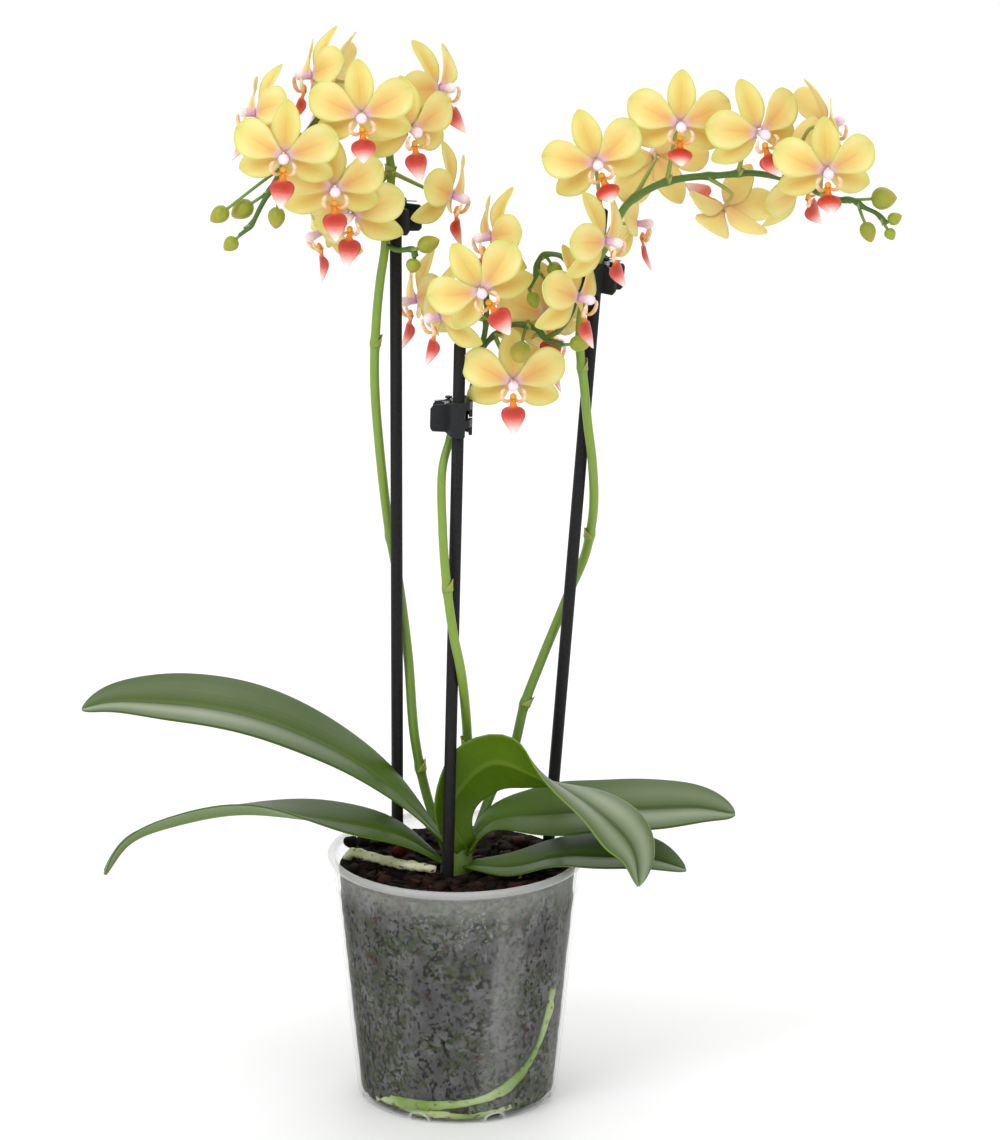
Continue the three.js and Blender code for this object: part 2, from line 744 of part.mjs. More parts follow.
// Each bloom is [spike, stem, node, centre, azimuth, elevation, roll]: where its stalk leaves the spike,
// where its middle is, the way it faces (azimuth 0 is the front, 90 the right) and its turn about that way.
const BLOOMS = {
  bloom_left_01: ["spike_left", "main", 18.5, [-88, 2, 465], -70, 12, 4],
  bloom_left_02: ["spike_left", "main", 17.3, [-63, 12, 480], -70, 10, 4],
  bloom_left_03: ["spike_left", "main", 15.6, [-55, 38, 473], -100, 8, 0],
  bloom_left_04: ["spike_left", "main", 16, [-41, -24, 470], 0, 0, 3],
  bloom_left_05: ["spike_left", "main", 15.8, [-8, 24, 472], 60, 8, 14],
  bloom_left_06: ["spike_left", "main", 14.5, [-20, -3, 459], 28, 0, 2],
  bloom_left_07: ["spike_left", "main", 19.6, [-75, -30, 453], -3, 0, -4],
  bloom_left_08: ["spike_left", "main", 14, [-54, -19, 435.6], 8, 0, 0],
  bloom_left_09: ["spike_left", "main", 13.5, [-46, -3, 420], -18, 0, 0],
  bloom_left_10: ["spike_left", "main", 13.4, [-60, 34, 404], -70, -18, 0],
  bloom_left_11: ["spike_left", "main", 13.4, [-2.5, 15, 425], 68, -8, 0],
  bloom_middle_01: ["spike_middle", "main", 19.6, [17, 0, 409], -70, 4, -4],
  bloom_middle_02: ["spike_middle", "main", 18.6, [12, -30, 392], 0, 0, 34],
  bloom_middle_03: ["spike_middle", "main", 17.6, [-6, -2, 373], -62, 0, 0],
  bloom_middle_04: ["spike_middle", "main", 18.4, [-17, 41, 370], -70, 0, 0],
  bloom_middle_05: ["spike_middle", "right", 1.5, [26, -12, 345], 0, 0, 0],
  bloom_middle_06: ["spike_middle", "tip", 2.5, [54, -24, 387], 60, 0, 0],
  bloom_middle_07: ["spike_middle", "main", 18.9, [27, 30, 383], 95, 0, 0],
  bloom_middle_08: ["spike_middle", "right", 3.5, [41, 12, 370], 25, 0, 0],
  bloom_middle_09: ["spike_middle", "right", 4.4, [41, 34, 352], 70, 0, -10],
  bloom_right_01: ["spike_right", "main", 17.5, [63, -16, 447], 4, 0, 20],
  bloom_right_02: ["spike_right", "main", 17.3, [66, -26.5, 413.5], 62, 0, 14],
  bloom_right_03: ["spike_right", "main", 17.5, [80.5, 30, 408.5], 90, 0, 0],
  bloom_right_04: ["spike_right", "main", 19.5, [90, 26, 441], 180, 0, 150],
  bloom_right_05: ["spike_right", "main", 21.1, [100, -10, 463], 3, 0, -2],
  bloom_right_06: ["spike_right", "main", 23.6, [135, -8, 459], 24, 0, 14],
  bloom_right_07: ["spike_right", "main", 25.5, [166, 12, 458], 110, 10, 0],
  bloom_right_08: ["spike_right", "main", 22.6, [121, 7, 422], -145, -50, 165],
  bloom_right_09: ["spike_right", "main", 26.5, [165, -16, 443], 6, 0, 2],
  bloom_right_10: ["spike_right", "main", 25.5, [155, 26, 427], 62, -8, 34],
};
const PEDICEL_STEPS = 4;
const PEDICEL_LEADS = [3, 8]; // it runs straight back past these depths before it bends

function bloomMatrix(centre, azimuth, elevation, roll) {
  const [a, e] = [degrees(azimuth), degrees(elevation)];
  const facing = vec(Math.sin(a) * Math.cos(e), -Math.cos(a) * Math.cos(e), Math.sin(e));
  const level = UP.clone().cross(facing).normalize();
  const upright = facing.clone().cross(level);
  const matrix = new THREE.Matrix4().makeBasis(level, upright, facing);
  return matrix.multiply(new THREE.Matrix4().makeRotationZ(degrees(roll))).setPosition(...centre);
}

// The flower stalk leaves the bloom straight back, bends, and ends at the side of its stem.
function pedicel(stem, node, matrix) {
  const root = stemPoint(stem, node);
  const tangent = stem.getTangent(node / stem.nodes);
  const centre = vec(0, 0, PETAL.lift + PETAL_BITE).applyMatrix4(matrix);
  const [close, behind] = PEDICEL_LEADS.map((lead) => vec(0, 0, -lead).applyMatrix4(matrix));
  const outward = behind.clone().sub(root);
  outward.addScaledVector(tangent, -outward.dot(tangent)).normalize();
  const end = root.clone().addScaledVector(outward, stem.radiusAt(node / stem.nodes) + GAP);
  const curve = new THREE.CatmullRomCurve3([centre, close, behind, end]);
  return tube(curve, () => PEDICEL_RADIUS, PEDICEL_STEPS, PEDICEL_SIDES);
}

function bloomSolid(head, [spike, stemName, node, ...place]) {
  const matrix = bloomMatrix(...place);
  const stem = SPIKES[spike].stems[stemName];
  return placed(head, matrix).add(pedicel(stem, node, matrix));
}

// ---------------------------------------------------------------- pot and growing mix
function wallRadius(z) {
  const top = POT_RIM_RADIUS - RIM_OVERHANG;
  return POT_FOOT_RADIUS + ((top - POT_FOOT_RADIUS) * z) / POT_HEIGHT;
}

function drainSlot() {
  const half = DRAIN_WIDTH / 2;
  const outline = polygon([
    [-half, -POT_WALL],
    [half, -POT_WALL],
    [half * DRAIN_TOP_SHARE, DRAIN_HEIGHT],
    [-half * DRAIN_TOP_SHARE, DRAIN_HEIGHT],
  ]);
  const depth = POT_RIM_RADIUS - DRAIN_INNER_RADIUS;
  return new THREE.ExtrudeGeometry(outline, { depth, bevelEnabled: false })
    .rotateX(Math.PI / 2)
    .translate(0, DRAIN_INNER_RADIUS + depth, 0);
}

function pot() {
  const under = POT_HEIGHT - RIM_HEIGHT;
  const outer = [
    [0, 0],
    [POT_FOOT_RADIUS - FOOT_ROUNDING, 0],
    [wallRadius(FOOT_ROUNDING), FOOT_ROUNDING],
    [wallRadius(SHOULDER_HEIGHT) - SHOULDER_STEP, SHOULDER_HEIGHT],
    [wallRadius(SHOULDER_HEIGHT), SHOULDER_HEIGHT + SHOULDER_STEP],
    [wallRadius(under), under],
    [POT_RIM_RADIUS, under],
    [POT_RIM_RADIUS - RIM_ROUNDING, POT_HEIGHT],
    [wallRadius(POT_HEIGHT) - RIM_ROUNDING, POT_HEIGHT],
    [wallRadius(under) - POT_WALL, under],
    [wallRadius(FOOT_ROUNDING) - POT_WALL, FOOT_ROUNDING],
    [POT_FOOT_RADIUS - FOOT_ROUNDING, POT_WALL],
    [0, POT_WALL],
  ];
  let shell = turned(outer, POT_SEGMENTS);
  for (let i = 0; i < DRAIN_SLOTS; i++) {
    const slot = drainSlot().rotateZ(((i + 0.5) * 2 * Math.PI) / DRAIN_SLOTS);
    shell = shell.subtract(solid(slot));
  }
  return shell;
}

// The mix fills the pot. Its top is a rough bed of bark, raised and sunk by two crossing waves.
const bump = (x, y) =>
  MIX_BUMP * Math.sin(x * MIX_WAVES.x + MIX_WAVES.shiftX) * Math.cos(y * MIX_WAVES.y + MIX_WAVES.shiftY);

function mixBody() {
  const inside = (z) => wallRadius(z) - POT_WALL - SHOULDER_STEP - GAP;
  const edge = inside(MIX_TOP);
  const bottom = FOOT_ROUNDING + GAP;
  const profile = [
    [0, POT_WALL + GAP],
    [POT_FOOT_RADIUS - FOOT_ROUNDING - POT_WALL, POT_WALL + GAP],
    [inside(bottom), bottom + GAP],
    [edge, MIX_TOP - MIX_BUMP],
    ...MIX_RINGS.map((share) => [edge * share, MIX_TOP]),
  ].map(([radius, height]) => new THREE.Vector2(radius, height));
  const body = new THREE.LatheGeometry(profile, MIX_SEGMENTS).rotateX(Math.PI / 2);
  const points = body.getAttribute("position");
  for (let i = 0; i < points.count; i++) {
    if (points.getZ(i) === MIX_TOP) {
      const [x, y] = [points.getX(i), points.getY(i)];
      points.setZ(i, MIX_TOP + bump(x, y) - MIX_DISH * (1 - Math.hypot(x, y) / edge) ** 2);
    }
  }
  return solid(body);
}

// ---------------------------------------------------------------- roots
const ROOTS = {
  root_surface: {
    radius: 2.6,
    points: [
      [-9.5, -14.5, 113.8],
      [-19.4, -13.5, 114.8],
      [-30.3, -7, 114.7],
      [-42, 1, 115],
      [-49, 6, 114.6],
      [-51.5, 9, 109],
    ],
  },
  root_stub: {
    radius: 1.7,
    points: [
      [24, -11, 109],
      [28.5, -14, 110.2],
      [31, -16, 104],
    ],
  },
};

// A root that shows through the wall, in a groove of the mix. Its points are [turn from the front, height].
const WALL_ROOT = [
  [64, 58],
  [60, 44],
  [53, 31],
  [37, 19],
  [19, 12],
  [-6, 9],
  [-30, 7.5],
  [-44, 7.5],
];

function wallRoot(extra) {
  const points = WALL_ROOT.map(([turn, z]) => {
    const radius = wallRadius(z) - POT_WALL - GAP - WALL_ROOT_RADIUS;
    return [radius * Math.sin(degrees(turn)), -radius * Math.cos(degrees(turn)), z];
  });
  return tube(route(points), () => WALL_ROOT_RADIUS + extra, WALL_ROOT_STEPS, ROOT_SIDES);
}

// ---------------------------------------------------------------- assembly
const crown = crownGrown(0);
addMesh("pot", pot(), "pot");
addMesh("crown", crown, "stem");

const stakeLines = Object.entries(STAKES).map(([name, ends]) => [name, stakeLine(ends)]);
for (const [name, line] of stakeLines) addMesh(name, stake(line, 0), "stake");

const rootTube = ({ points, radius }, extra) =>
  tube(route(points), () => radius + extra, points.length + 1, ROOT_SIDES);
for (const [name, root] of Object.entries(ROOTS)) addMesh(name, rootTube(root, 0), "root");

let mix = mixBody().subtract(crownGrown(GAP));
for (const [, line] of stakeLines) mix = mix.subtract(stake(line, GAP));
for (const root of Object.values(ROOTS)) mix = mix.subtract(rootTube(root, GAP));
mix = mix.subtract(wallRoot(GAP));
addMesh("root_wall", wallRoot(0), "root");
addMesh("growing_mix", mix, "mix");

for (const [name, clip] of Object.entries(CLIPS)) {
  const matrix = clipMatrix(clip);
  addMesh(`${name}_fixed_jaw`, placed(fixedJaw(), matrix), "clip");
  addMesh(`${name}_swinging_jaw`, placed(swingingJaw(), matrix), "clip");
  addMesh(`${name}_spring`, placed(clipSpring(), matrix), "spring");
}

for (const [name, leaf] of Object.entries(LEAVES)) {
  addMesh(name, leafBlade(leaf).subtract(crownGrown(GAP)), "leaf");
}
for (const [name, spike] of Object.entries(SPIKES)) addMesh(name, spikeSolid(spike), "stem");

const head = flowerHead();
for (const [name, bloom] of Object.entries(BLOOMS)) addMesh(name, bloomSolid(head, bloom), "petal");

export default orchid;
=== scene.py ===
"""A moth orchid with three flower spikes in a clear 12 cm grow pot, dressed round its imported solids.

Sizes are in millimetres, in the frame of the solids: +Z up, the origin under the pot, the front along -Y.
They become metres where a mesh is made.
"""

import json
import math
import random

import bmesh
import bpy
from mathutils import Matrix, Vector, noise

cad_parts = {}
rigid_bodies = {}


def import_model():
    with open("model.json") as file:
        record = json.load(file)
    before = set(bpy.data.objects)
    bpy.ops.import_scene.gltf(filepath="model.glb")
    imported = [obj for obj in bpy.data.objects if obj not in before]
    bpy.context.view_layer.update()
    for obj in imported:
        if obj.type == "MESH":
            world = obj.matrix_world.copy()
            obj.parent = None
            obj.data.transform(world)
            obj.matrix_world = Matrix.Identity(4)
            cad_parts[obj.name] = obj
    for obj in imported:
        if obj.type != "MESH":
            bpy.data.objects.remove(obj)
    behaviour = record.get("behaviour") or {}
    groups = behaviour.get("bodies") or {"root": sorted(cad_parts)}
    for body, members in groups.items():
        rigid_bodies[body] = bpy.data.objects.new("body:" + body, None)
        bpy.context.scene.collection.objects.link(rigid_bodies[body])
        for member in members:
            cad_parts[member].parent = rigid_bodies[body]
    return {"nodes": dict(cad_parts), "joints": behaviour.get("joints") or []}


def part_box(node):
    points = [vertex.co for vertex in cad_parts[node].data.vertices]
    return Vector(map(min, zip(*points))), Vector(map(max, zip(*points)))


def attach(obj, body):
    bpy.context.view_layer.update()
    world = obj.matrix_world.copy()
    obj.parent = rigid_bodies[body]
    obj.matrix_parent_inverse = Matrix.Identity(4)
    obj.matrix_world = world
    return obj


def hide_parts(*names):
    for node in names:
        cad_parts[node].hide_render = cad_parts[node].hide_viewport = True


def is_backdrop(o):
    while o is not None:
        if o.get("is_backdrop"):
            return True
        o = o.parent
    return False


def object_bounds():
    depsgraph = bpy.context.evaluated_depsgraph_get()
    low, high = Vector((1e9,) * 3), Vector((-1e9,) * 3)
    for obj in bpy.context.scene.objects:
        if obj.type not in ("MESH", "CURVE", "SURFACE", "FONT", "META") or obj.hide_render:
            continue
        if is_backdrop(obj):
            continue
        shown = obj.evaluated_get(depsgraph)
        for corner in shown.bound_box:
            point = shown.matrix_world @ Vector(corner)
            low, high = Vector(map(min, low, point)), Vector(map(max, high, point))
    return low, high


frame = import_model()
CAD_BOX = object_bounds()

MM = 0.001
ROOT_BODY = "plant_and_pot"

# ---------------------------------------------------------------- driving dimensions
POT_HEIGHT = 118
POT_RIM_RADIUS = 60
POT_FOOT_RADIUS = 46.5
POT_WALL = 1.2
RIM_OVERHANG = 2
RIM_HEIGHT = 3.2
SHOULDER_HEIGHT = 101
SHOULDER_STEP = 0.6
FOOT_ROUNDING = 3
DRAIN_SLOTS = 8
DRAIN_WIDTH = 9
DRAIN_HEIGHT = 4.5
MIX_TOP = 112
MIX_DISH = 5
MIX_BUMP = 1.4
STAKE_RADIUS = 2.75
STEM_RADIUS = 2.3
STEM_TIP_RADIUS = 0.9
BRANCH_RADIUS = 1.2
LEAF_THICKNESS = 1.4
PEDICEL_RADIUS = 0.95
SEAT_GAP = 0.35

# The foot and the top of each stake.
STAKES = {
    "stake_left": ((-28, 14, 14), (-27, 14, 428)),
    "stake_middle": ((-6.5, -21.5, 14), (2, -6, 362)),
    "stake_right": ((35, 25, 14), (66, 9.5, 420)),
}

# Each leaf is (width, compass angle of its middle line, stations). A station is a point of the midrib and its
# roll, the degrees by which the right-hand edge is lifted.
LEAVES = {
    "leaf_upper_left": (49, 187, (
        (-4, -1, 119, 0), (-28, -4, 147.5, 13), (-54, -7, 167.5, 12), (-88, -10, 184, 12),
        (-111, -12, 190.5, 12), (-135, -14, 194, 12), (-158, -16, 195, 8), (-171, -17, 192, 4),
    )),
    "leaf_lower_left": (44, 191, (
        (-5, -4, 112, 0), (-26, -9, 128, 12), (-54, -15, 136.5, 5), (-76, -20, 141.5, -7),
        (-99, -24, 144.5, -18), (-126, -28, 141, -22), (-149, -31, 133, -20), (-161, -33, 118, -12),
    )),
    "leaf_folded": (44, 0, (
        (4, -5, 121, 62), (-3.6, -6.3, 138.7, 53), (8.6, -6.8, 158.4, 64), (18.6, -12.2, 165.6, 64),
        (32.8, -18.8, 162.2, 37), (48.7, -26.6, 156.9, 8), (65, -36, 148.4, -10), (80, -44.5, 134.4, -34),
        (83, -50.5, 118.3, -26),
    )),
    "leaf_upper_right": (44, 2, (
        (5, -2.5, 117, 0), (15.4, 0, 131.7, -13), (40.6, -0.5, 135.1, -22), (65.2, 2, 136.1, -13),
        (89.1, 3.7, 136.5, -14), (112.5, 6.8, 136.1, -13), (129, 7, 133, -11),
    )),
    "leaf_lower_right": (44, -12, (
        (5, -5, 112, 0), (26.3, -12.6, 114, -5), (47.3, -17, 120.4, -2), (68.4, -19.5, 121.3, -4),
        (89.7, -20, 120.4, -1), (105.5, -21, 115.6, 7),
    )),
}

# Each spike has its stems, as points, its buds as (stem, node, centre, length, thickness), and the sheaths of
# its main stem as (node, compass angle of the point). A node counts along a stem's points.
SPIKES = {
    "spike_left": {
        "stems": {
            "main": (
                (-4, 5, 114), (-9, 10, 126), (-14, 14, 140), (-19.5, 13, 169), (-22.5, 18, 207),
                (-27, 22, 243), (-31, 21, 267), (-35, 17, 306), (-37, 13, 340), (-36, 10, 368),
                (-34, 8, 388), (-32, 7, 401), (-31, 7, 416), (-29, 7, 430), (-30, 7, 448), (-35, 9, 463),
                (-44, 12, 469), (-54, 13, 468), (-64, 11, 458), (-72, 9, 447), (-80, 6, 435),
                (-87, 4, 423), (-92, 2, 414), (-97, 0, 410),
            ),
            "low": ((-31.5, 7, 404), (-26, 1, 403), (-19, -3, 404), (-18, -3, 401)),
        },
        "buds": (
            ("main", 19.5, (-106, 2, 419), 10, 8), ("main", 20.5, (-96, 8, 420), 12, 9),
            ("main", 19.8, (-80, -4, 419), 10.5, 8), ("main", 22, (-101, 0, 406), 8, 7),
            ("low", 2, (-12, -4, 407), 11, 8), ("low", 3, (-19, -4, 397), 7, 7),
        ),
        "sheaths": ((2.5, 0), (5.85, 30), (8.6, 10), (11.7, 40)),
    },
    "spike_middle": {
        "stems": {
            "main": (
                (0, 6.5, 114), (2, 12, 126), (4, 10, 137), (5, 7, 155), (5, 2, 170), (4, -8, 191),
                (2, -18, 212), (-1, -20, 228), (-4, -19, 250), (-6, -15, 277), (-6, -8, 304),
                (-2, -0.5, 317), (2, 0, 327), (6, 0.5, 334), (8, 0, 341), (9, 0, 350), (11, 0, 357),
                (13, 1, 364), (14, 3, 375), (13, 5, 386), (10, 6, 396),
            ),
            "right": (
                (10, 0, 354), (15, 2, 361), (20, 3, 365), (26, 3, 368), (36, 0, 367), (41, -5, 363),
                (48, -6, 361),
            ),
            "tip": (
                (40, -5, 363.5), (47, -9, 369), (53, -9, 379), (53, -8, 391), (48, -4, 401),
                (40, 0, 401), (37, 2, 397), (36, 2, 391), (33, 2, 386),
            ),
        },
        "buds": (
            ("right", 6, (56, -8, 362), 10, 7.5), ("right", 3.6, (29, -21, 361), 13, 9.5),
            ("tip", 8, (35, 1, 380), 8, 6), ("tip", 5, (45, 4, 393), 9, 7), ("tip", 6.5, (44, 6, 383), 9, 7),
        ),
        "sheaths": ((4, 200), (8, 0), (11, 0), (15, 0)),
    },
    "spike_right": {
        "stems": {
            "main": (
                (5, 4.5, 114), (10.5, 11, 127), (16, 15, 141), (25.5, 15, 160), (31.5, 17, 184),
                (39, 22, 203), (46.5, 26, 221), (53, 28, 237), (59, 27, 252), (62, 22, 268),
                (63, 16, 283), (62, 10, 303), (60, 5, 320), (58, 3, 340), (56, 3, 359), (57, 3, 375),
                (61, 3.3, 390), (66, 2, 402), (70, 1, 411), (77, 1, 424), (85, 1, 430), (94, 2, 434),
                (105, 3, 436), (119, 3, 437), (132, 3, 438), (145, 3, 436), (154, 3, 433), (172, 2, 426),
                (178, 1, 426), (183, 0, 423), (189, 0, 420), (193, -1, 416),
            ),
        },
        "buds": (
            ("main", 27.5, (192, 0, 427), 12, 10.5), ("main", 31, (197, -1, 418), 7, 6),
            ("main", 30.5, (195, -2, 411), 6, 5.5), ("main", 28.5, (185, -2, 412), 10, 7.5),
        ),
        "sheaths": ((4, 0), (8.7, 200), (13.4, 20)),
    },
}

# The blooms of each spike, in the order of their numbers, as (stem, node, centre, azimuth, elevation, roll):
# where the stalk leaves the stem, where the bloom is and how it faces.
BLOOMS = {
    "spike_left": (
        ("main", 18.5, (-88, 2, 465), -70, 12, 4),
        ("main", 17.3, (-63, 12, 480), -70, 10, 4),
        ("main", 15.6, (-55, 38, 473), -100, 8, 0),
        ("main", 16, (-41, -24, 470), 0, 0, 3),
        ("main", 15.8, (-8, 24, 472), 60, 8, 14),
        ("main", 14.5, (-20, -3, 459), 28, 0, 2),
        ("main", 19.6, (-75, -30, 453), -3, 0, -4),
        ("main", 14, (-54, -19, 435.6), 8, 0, 0),
        ("main", 13.5, (-46, -3, 420), -18, 0, 0),
        ("main", 13.4, (-60, 34, 404), -70, -18, 0),
        ("main", 13.4, (-2.5, 15, 425), 68, -8, 0),
    ),
    "spike_middle": (
        ("main", 19.6, (17, 0, 409), -70, 4, -4),
        ("main", 18.6, (12, -30, 392), 0, 0, 34),
        ("main", 17.6, (-6, -2, 373), -62, 0, 0),
        ("main", 18.4, (-17, 41, 370), -70, 0, 0),
        ("right", 1.5, (26, -12, 345), 0, 0, 0),
        ("tip", 2.5, (54, -24, 387), 60, 0, 0),
        ("main", 18.9, (27, 30, 383), 95, 0, 0),
        ("right", 3.5, (41, 12, 370), 25, 0, 0),
        ("right", 4.4, (41, 34, 352), 70, 0, -10),
    ),
    "spike_right": (
        ("main", 17.5, (63, -16, 447), 4, 0, 20),
        ("main", 17.3, (66, -26.5, 413.5), 62, 0, 14),
        ("main", 17.5, (80.5, 30, 408.5), 90, 0, 0),
        ("main", 19.5, (90, 26, 441), 180, 0, 150),
        ("main", 21.1, (100, -10, 463), 3, 0, -2),
        ("main", 23.6, (135, -8, 459), 24, 0, 14),
        ("main", 25.5, (166, 12, 458), 110, 10, 0),
        ("main", 22.6, (121, 7, 422), -145, -50, 165),
        ("main", 26.5, (165, -16, 443), 6, 0, 2),
        ("main", 25.5, (155, 26, 427), 62, -8, 34),
    ),
}

# Lumps of bark that stand out on the mix: (place, size, colour).
BARK_LUMPS = (
    ((-26, 7, 115), 3.9, "641f1e"),
    ((-49.5, 16, 116.6), 3.2, "15110f"),
    ((-44, 24, 114), 3.0, "2a1a14"),
    ((-30, -33, 111.5), 3.2, "241610"),
)

ROOTS = {
    "root_surface": (2.3, ((-9.5, -14.5, 113.8), (-19.4, -13.5, 114.8), (-30.3, -7, 114.7), (-42, 1, 115),
                           (-49, 6, 114.6), (-51.5, 9, 109))),
    "root_stub": (1.7, ((24, -11, 109), (28.5, -14, 110.2), (31, -16, 104))),
}
# The long root and the low one that show through the wall, as (degrees round from the front, height).
WALL_ROOT = ((64, 58), (60, 44), (53, 31), (37, 19), (19, 12), (-6, 9), (-30, 7.5), (-44, 7.5))
WALL_ROOT_RADIUS = 1.7
FOOT_ROOT = ((34, 6), (22, 4.6), (8, 3.6), (-8, 4.2), (-24, 4.2), (-40, 6.5), (-56, 5))
FOOT_ROOT_RADIUS = 1.1


# ---------------------------------------------------------------- camera
CAMERA_PLACE_M = (0.02, -2.5, 0.993)
CAMERA_TILT = 73.52
CAMERA_LENS = 120.2
SENSOR_HEIGHT = 24


def make_camera():
    data = bpy.data.cameras.new("camera")
    data.sensor_fit = "VERTICAL"
    data.sensor_height = SENSOR_HEIGHT
    data.lens = CAMERA_LENS
    data.clip_end = 50
    camera = bpy.data.objects.new("camera", data)
    camera.location = CAMERA_PLACE_M
    camera.rotation_euler = (math.radians(CAMERA_TILT), 0, 0)
    bpy.context.scene.collection.objects.link(camera)
    bpy.context.scene.camera = camera


# ---------------------------------------------------------------- colours and materials
def rgb(text):
    """The linear red, green and blue of a colour written as six hexadecimal digits."""
    shares = [int(text[i:i + 2], 16) / 255 for i in (0, 2, 4)]
    return tuple(c / 12.92 if c <= 0.04045 else ((c + 0.055) / 1.055) ** 2.4 for c in shares)


def grey(value):
    return (value, value, value)


def blend(a, b, share):
    share = min(max(share, 0), 1)
    return tuple(p + (q - p) * share for p, q in zip(a, b))


def bell(distance, width):
    """1 where distance is 0, falling off smoothly to both sides."""
    return math.exp(-(distance / width) ** 2)


class Surface:
    """A material whose nodes are added one by one to a Principled shader.

    The scale of a noise is in cells to the metre, or to the length of a blade where it follows the grain.
    """

    def __init__(self, name, roughness, **settings):
        self.material = bpy.data.materials.new(name)
        self.material.use_nodes = True
        tree = self.material.node_tree
        self.nodes, self.links = tree.nodes, tree.links
        self.shader = self.nodes["Principled BSDF"]
        self.shader.inputs["Roughness"].default_value = roughness
        for label, value in settings.items():
            self.shader.inputs[label].default_value = value

    def add(self, kind, settings=None, **inputs):
        node = self.nodes.new("ShaderNode" + kind)
        for key, value in (settings or {}).items():
            setattr(node, key, value)
        for label, value in inputs.items():
            self.feed(node.inputs[label.replace("_", " ")], value)
        return node

    def feed(self, socket, value):
        if isinstance(value, bpy.types.NodeSocket):
            self.links.new(value, socket)
        else:
            socket.default_value = value

    def noise(self, scale, detail, roughness=0.5, stretch=(1, 1, 1), source="Object"):
        coordinates = self.add("TexCoord").outputs[source]
        where = self.add("Mapping", Vector=coordinates, Scale=stretch).outputs["Vector"]
        node = self.add("TexNoise", Vector=where, Scale=scale, Detail=detail, Roughness=roughness)
        return node.outputs["Fac"]

    def ramp(self, factor, *stops):
        node = self.add("ValToRGB", Fac=factor)
        band = node.color_ramp
        while len(band.elements) < len(stops):
            band.elements.new(1)
        for element, (position, colour) in zip(band.elements, stops):
            element.position = position
            element.color = (*colour, 1) if len(colour) == 3 else colour
        return node.outputs["Color"]

    def mask(self, factor, low, high):
        """0 below low, 1 above high."""
        return self.ramp(factor, (low, grey(0)), (high, grey(1)))

    def mix(self, factor, a, b, kind="MIX"):
        node = self.add("Mix", {"data_type": "RGBA", "blend_type": kind})
        for index, value in ((0, factor), (6, a), (7, b)):
            if isinstance(value, tuple) and len(value) == 3:
                value = (*value, 1)
            self.feed(node.inputs[index], value)
        return node.outputs[2]

    def bump(self, height, strength, depth, under=None):
        node = self.add("Bump", Height=height, Strength=strength, Distance=depth * MM)
        if under is not None:
            self.feed(node.inputs["Normal"], under)
        return node.outputs["Normal"]

    def finish(self, colour, normal=None, roughness=None):
        for label, value in (("Base Color", colour), ("Normal", normal), ("Roughness", roughness)):
            if value is not None:
                self.feed(self.shader.inputs[label], value)
        return self.material


def tinted(surface):
    """The colour that the mesh carries at its points."""
    return surface.add("VertexColor", {"layer_name": "tint"}).outputs["Color"]


def petal_material():
    settings = {"Subsurface Weight": 0.2, "Subsurface Scale": 0.003, "Specular IOR Level": 0.3}
    s = Surface("petal", 0.55, **settings)
    veins = s.mask(s.noise(1, 3, 0.65, (30, 1.6, 1), "UV"), 0.36, 0.72)
    blush = s.mask(s.noise(110, 2), 0.35, 0.7)
    colour = s.mix(veins, tinted(s), (1, 0.93, 0.76), "MULTIPLY")
    colour = s.mix(blush, colour, (1, 0.965, 0.9), "MULTIPLY")
    crystals = s.noise(2600, 1)
    return s.finish(colour, s.bump(crystals, 0.12, 0.2, s.bump(veins, 0.5, 0.35)))


def lip_material():
    s = Surface("lip", 0.4, **{"Subsurface Weight": 0.15, "Subsurface Scale": 0.002})
    freckles = s.mask(s.noise(900, 2), 0.45, 0.7)
    colour = s.mix(freckles, tinted(s), (0.9, 0.84, 0.84), "MULTIPLY")
    return s.finish(colour, s.bump(s.noise(1200, 2), 0.2, 0.3))


def stem_material():
    s = Surface("stem", 0.4, **{"Subsurface Weight": 0.08, "Subsurface Scale": 0.002})
    streaks = s.noise(700, 3, stretch=(1, 1, 0.12))
    colour = s.mix(streaks, tinted(s), (0.74, 0.78, 0.6), "MULTIPLY")
    return s.finish(colour, s.bump(streaks, 0.15, 0.3))


def leaf_material():
    s = Surface("leaf", 0.38, **{"Specular IOR Level": 0.24})
    veins = s.noise(1, 3, 0.6, (46, 1.2, 1), "UV")
    patches = s.noise(22, 3)
    colour = s.mix(s.mask(veins, 0.3, 0.8), tinted(s), (0.78, 0.84, 0.7), "MULTIPLY")
    colour = s.mix(s.mask(patches, 0.35, 0.7), colour, (0.88, 0.94, 0.86), "MULTIPLY")
    pores = s.noise(1500, 2)
    normal = s.bump(pores, 0.08, 0.3, s.bump(veins, 0.25, 0.6))
    return s.finish(colour, normal, s.ramp(patches, (0.3, grey(0.32)), (0.7, grey(0.46))))


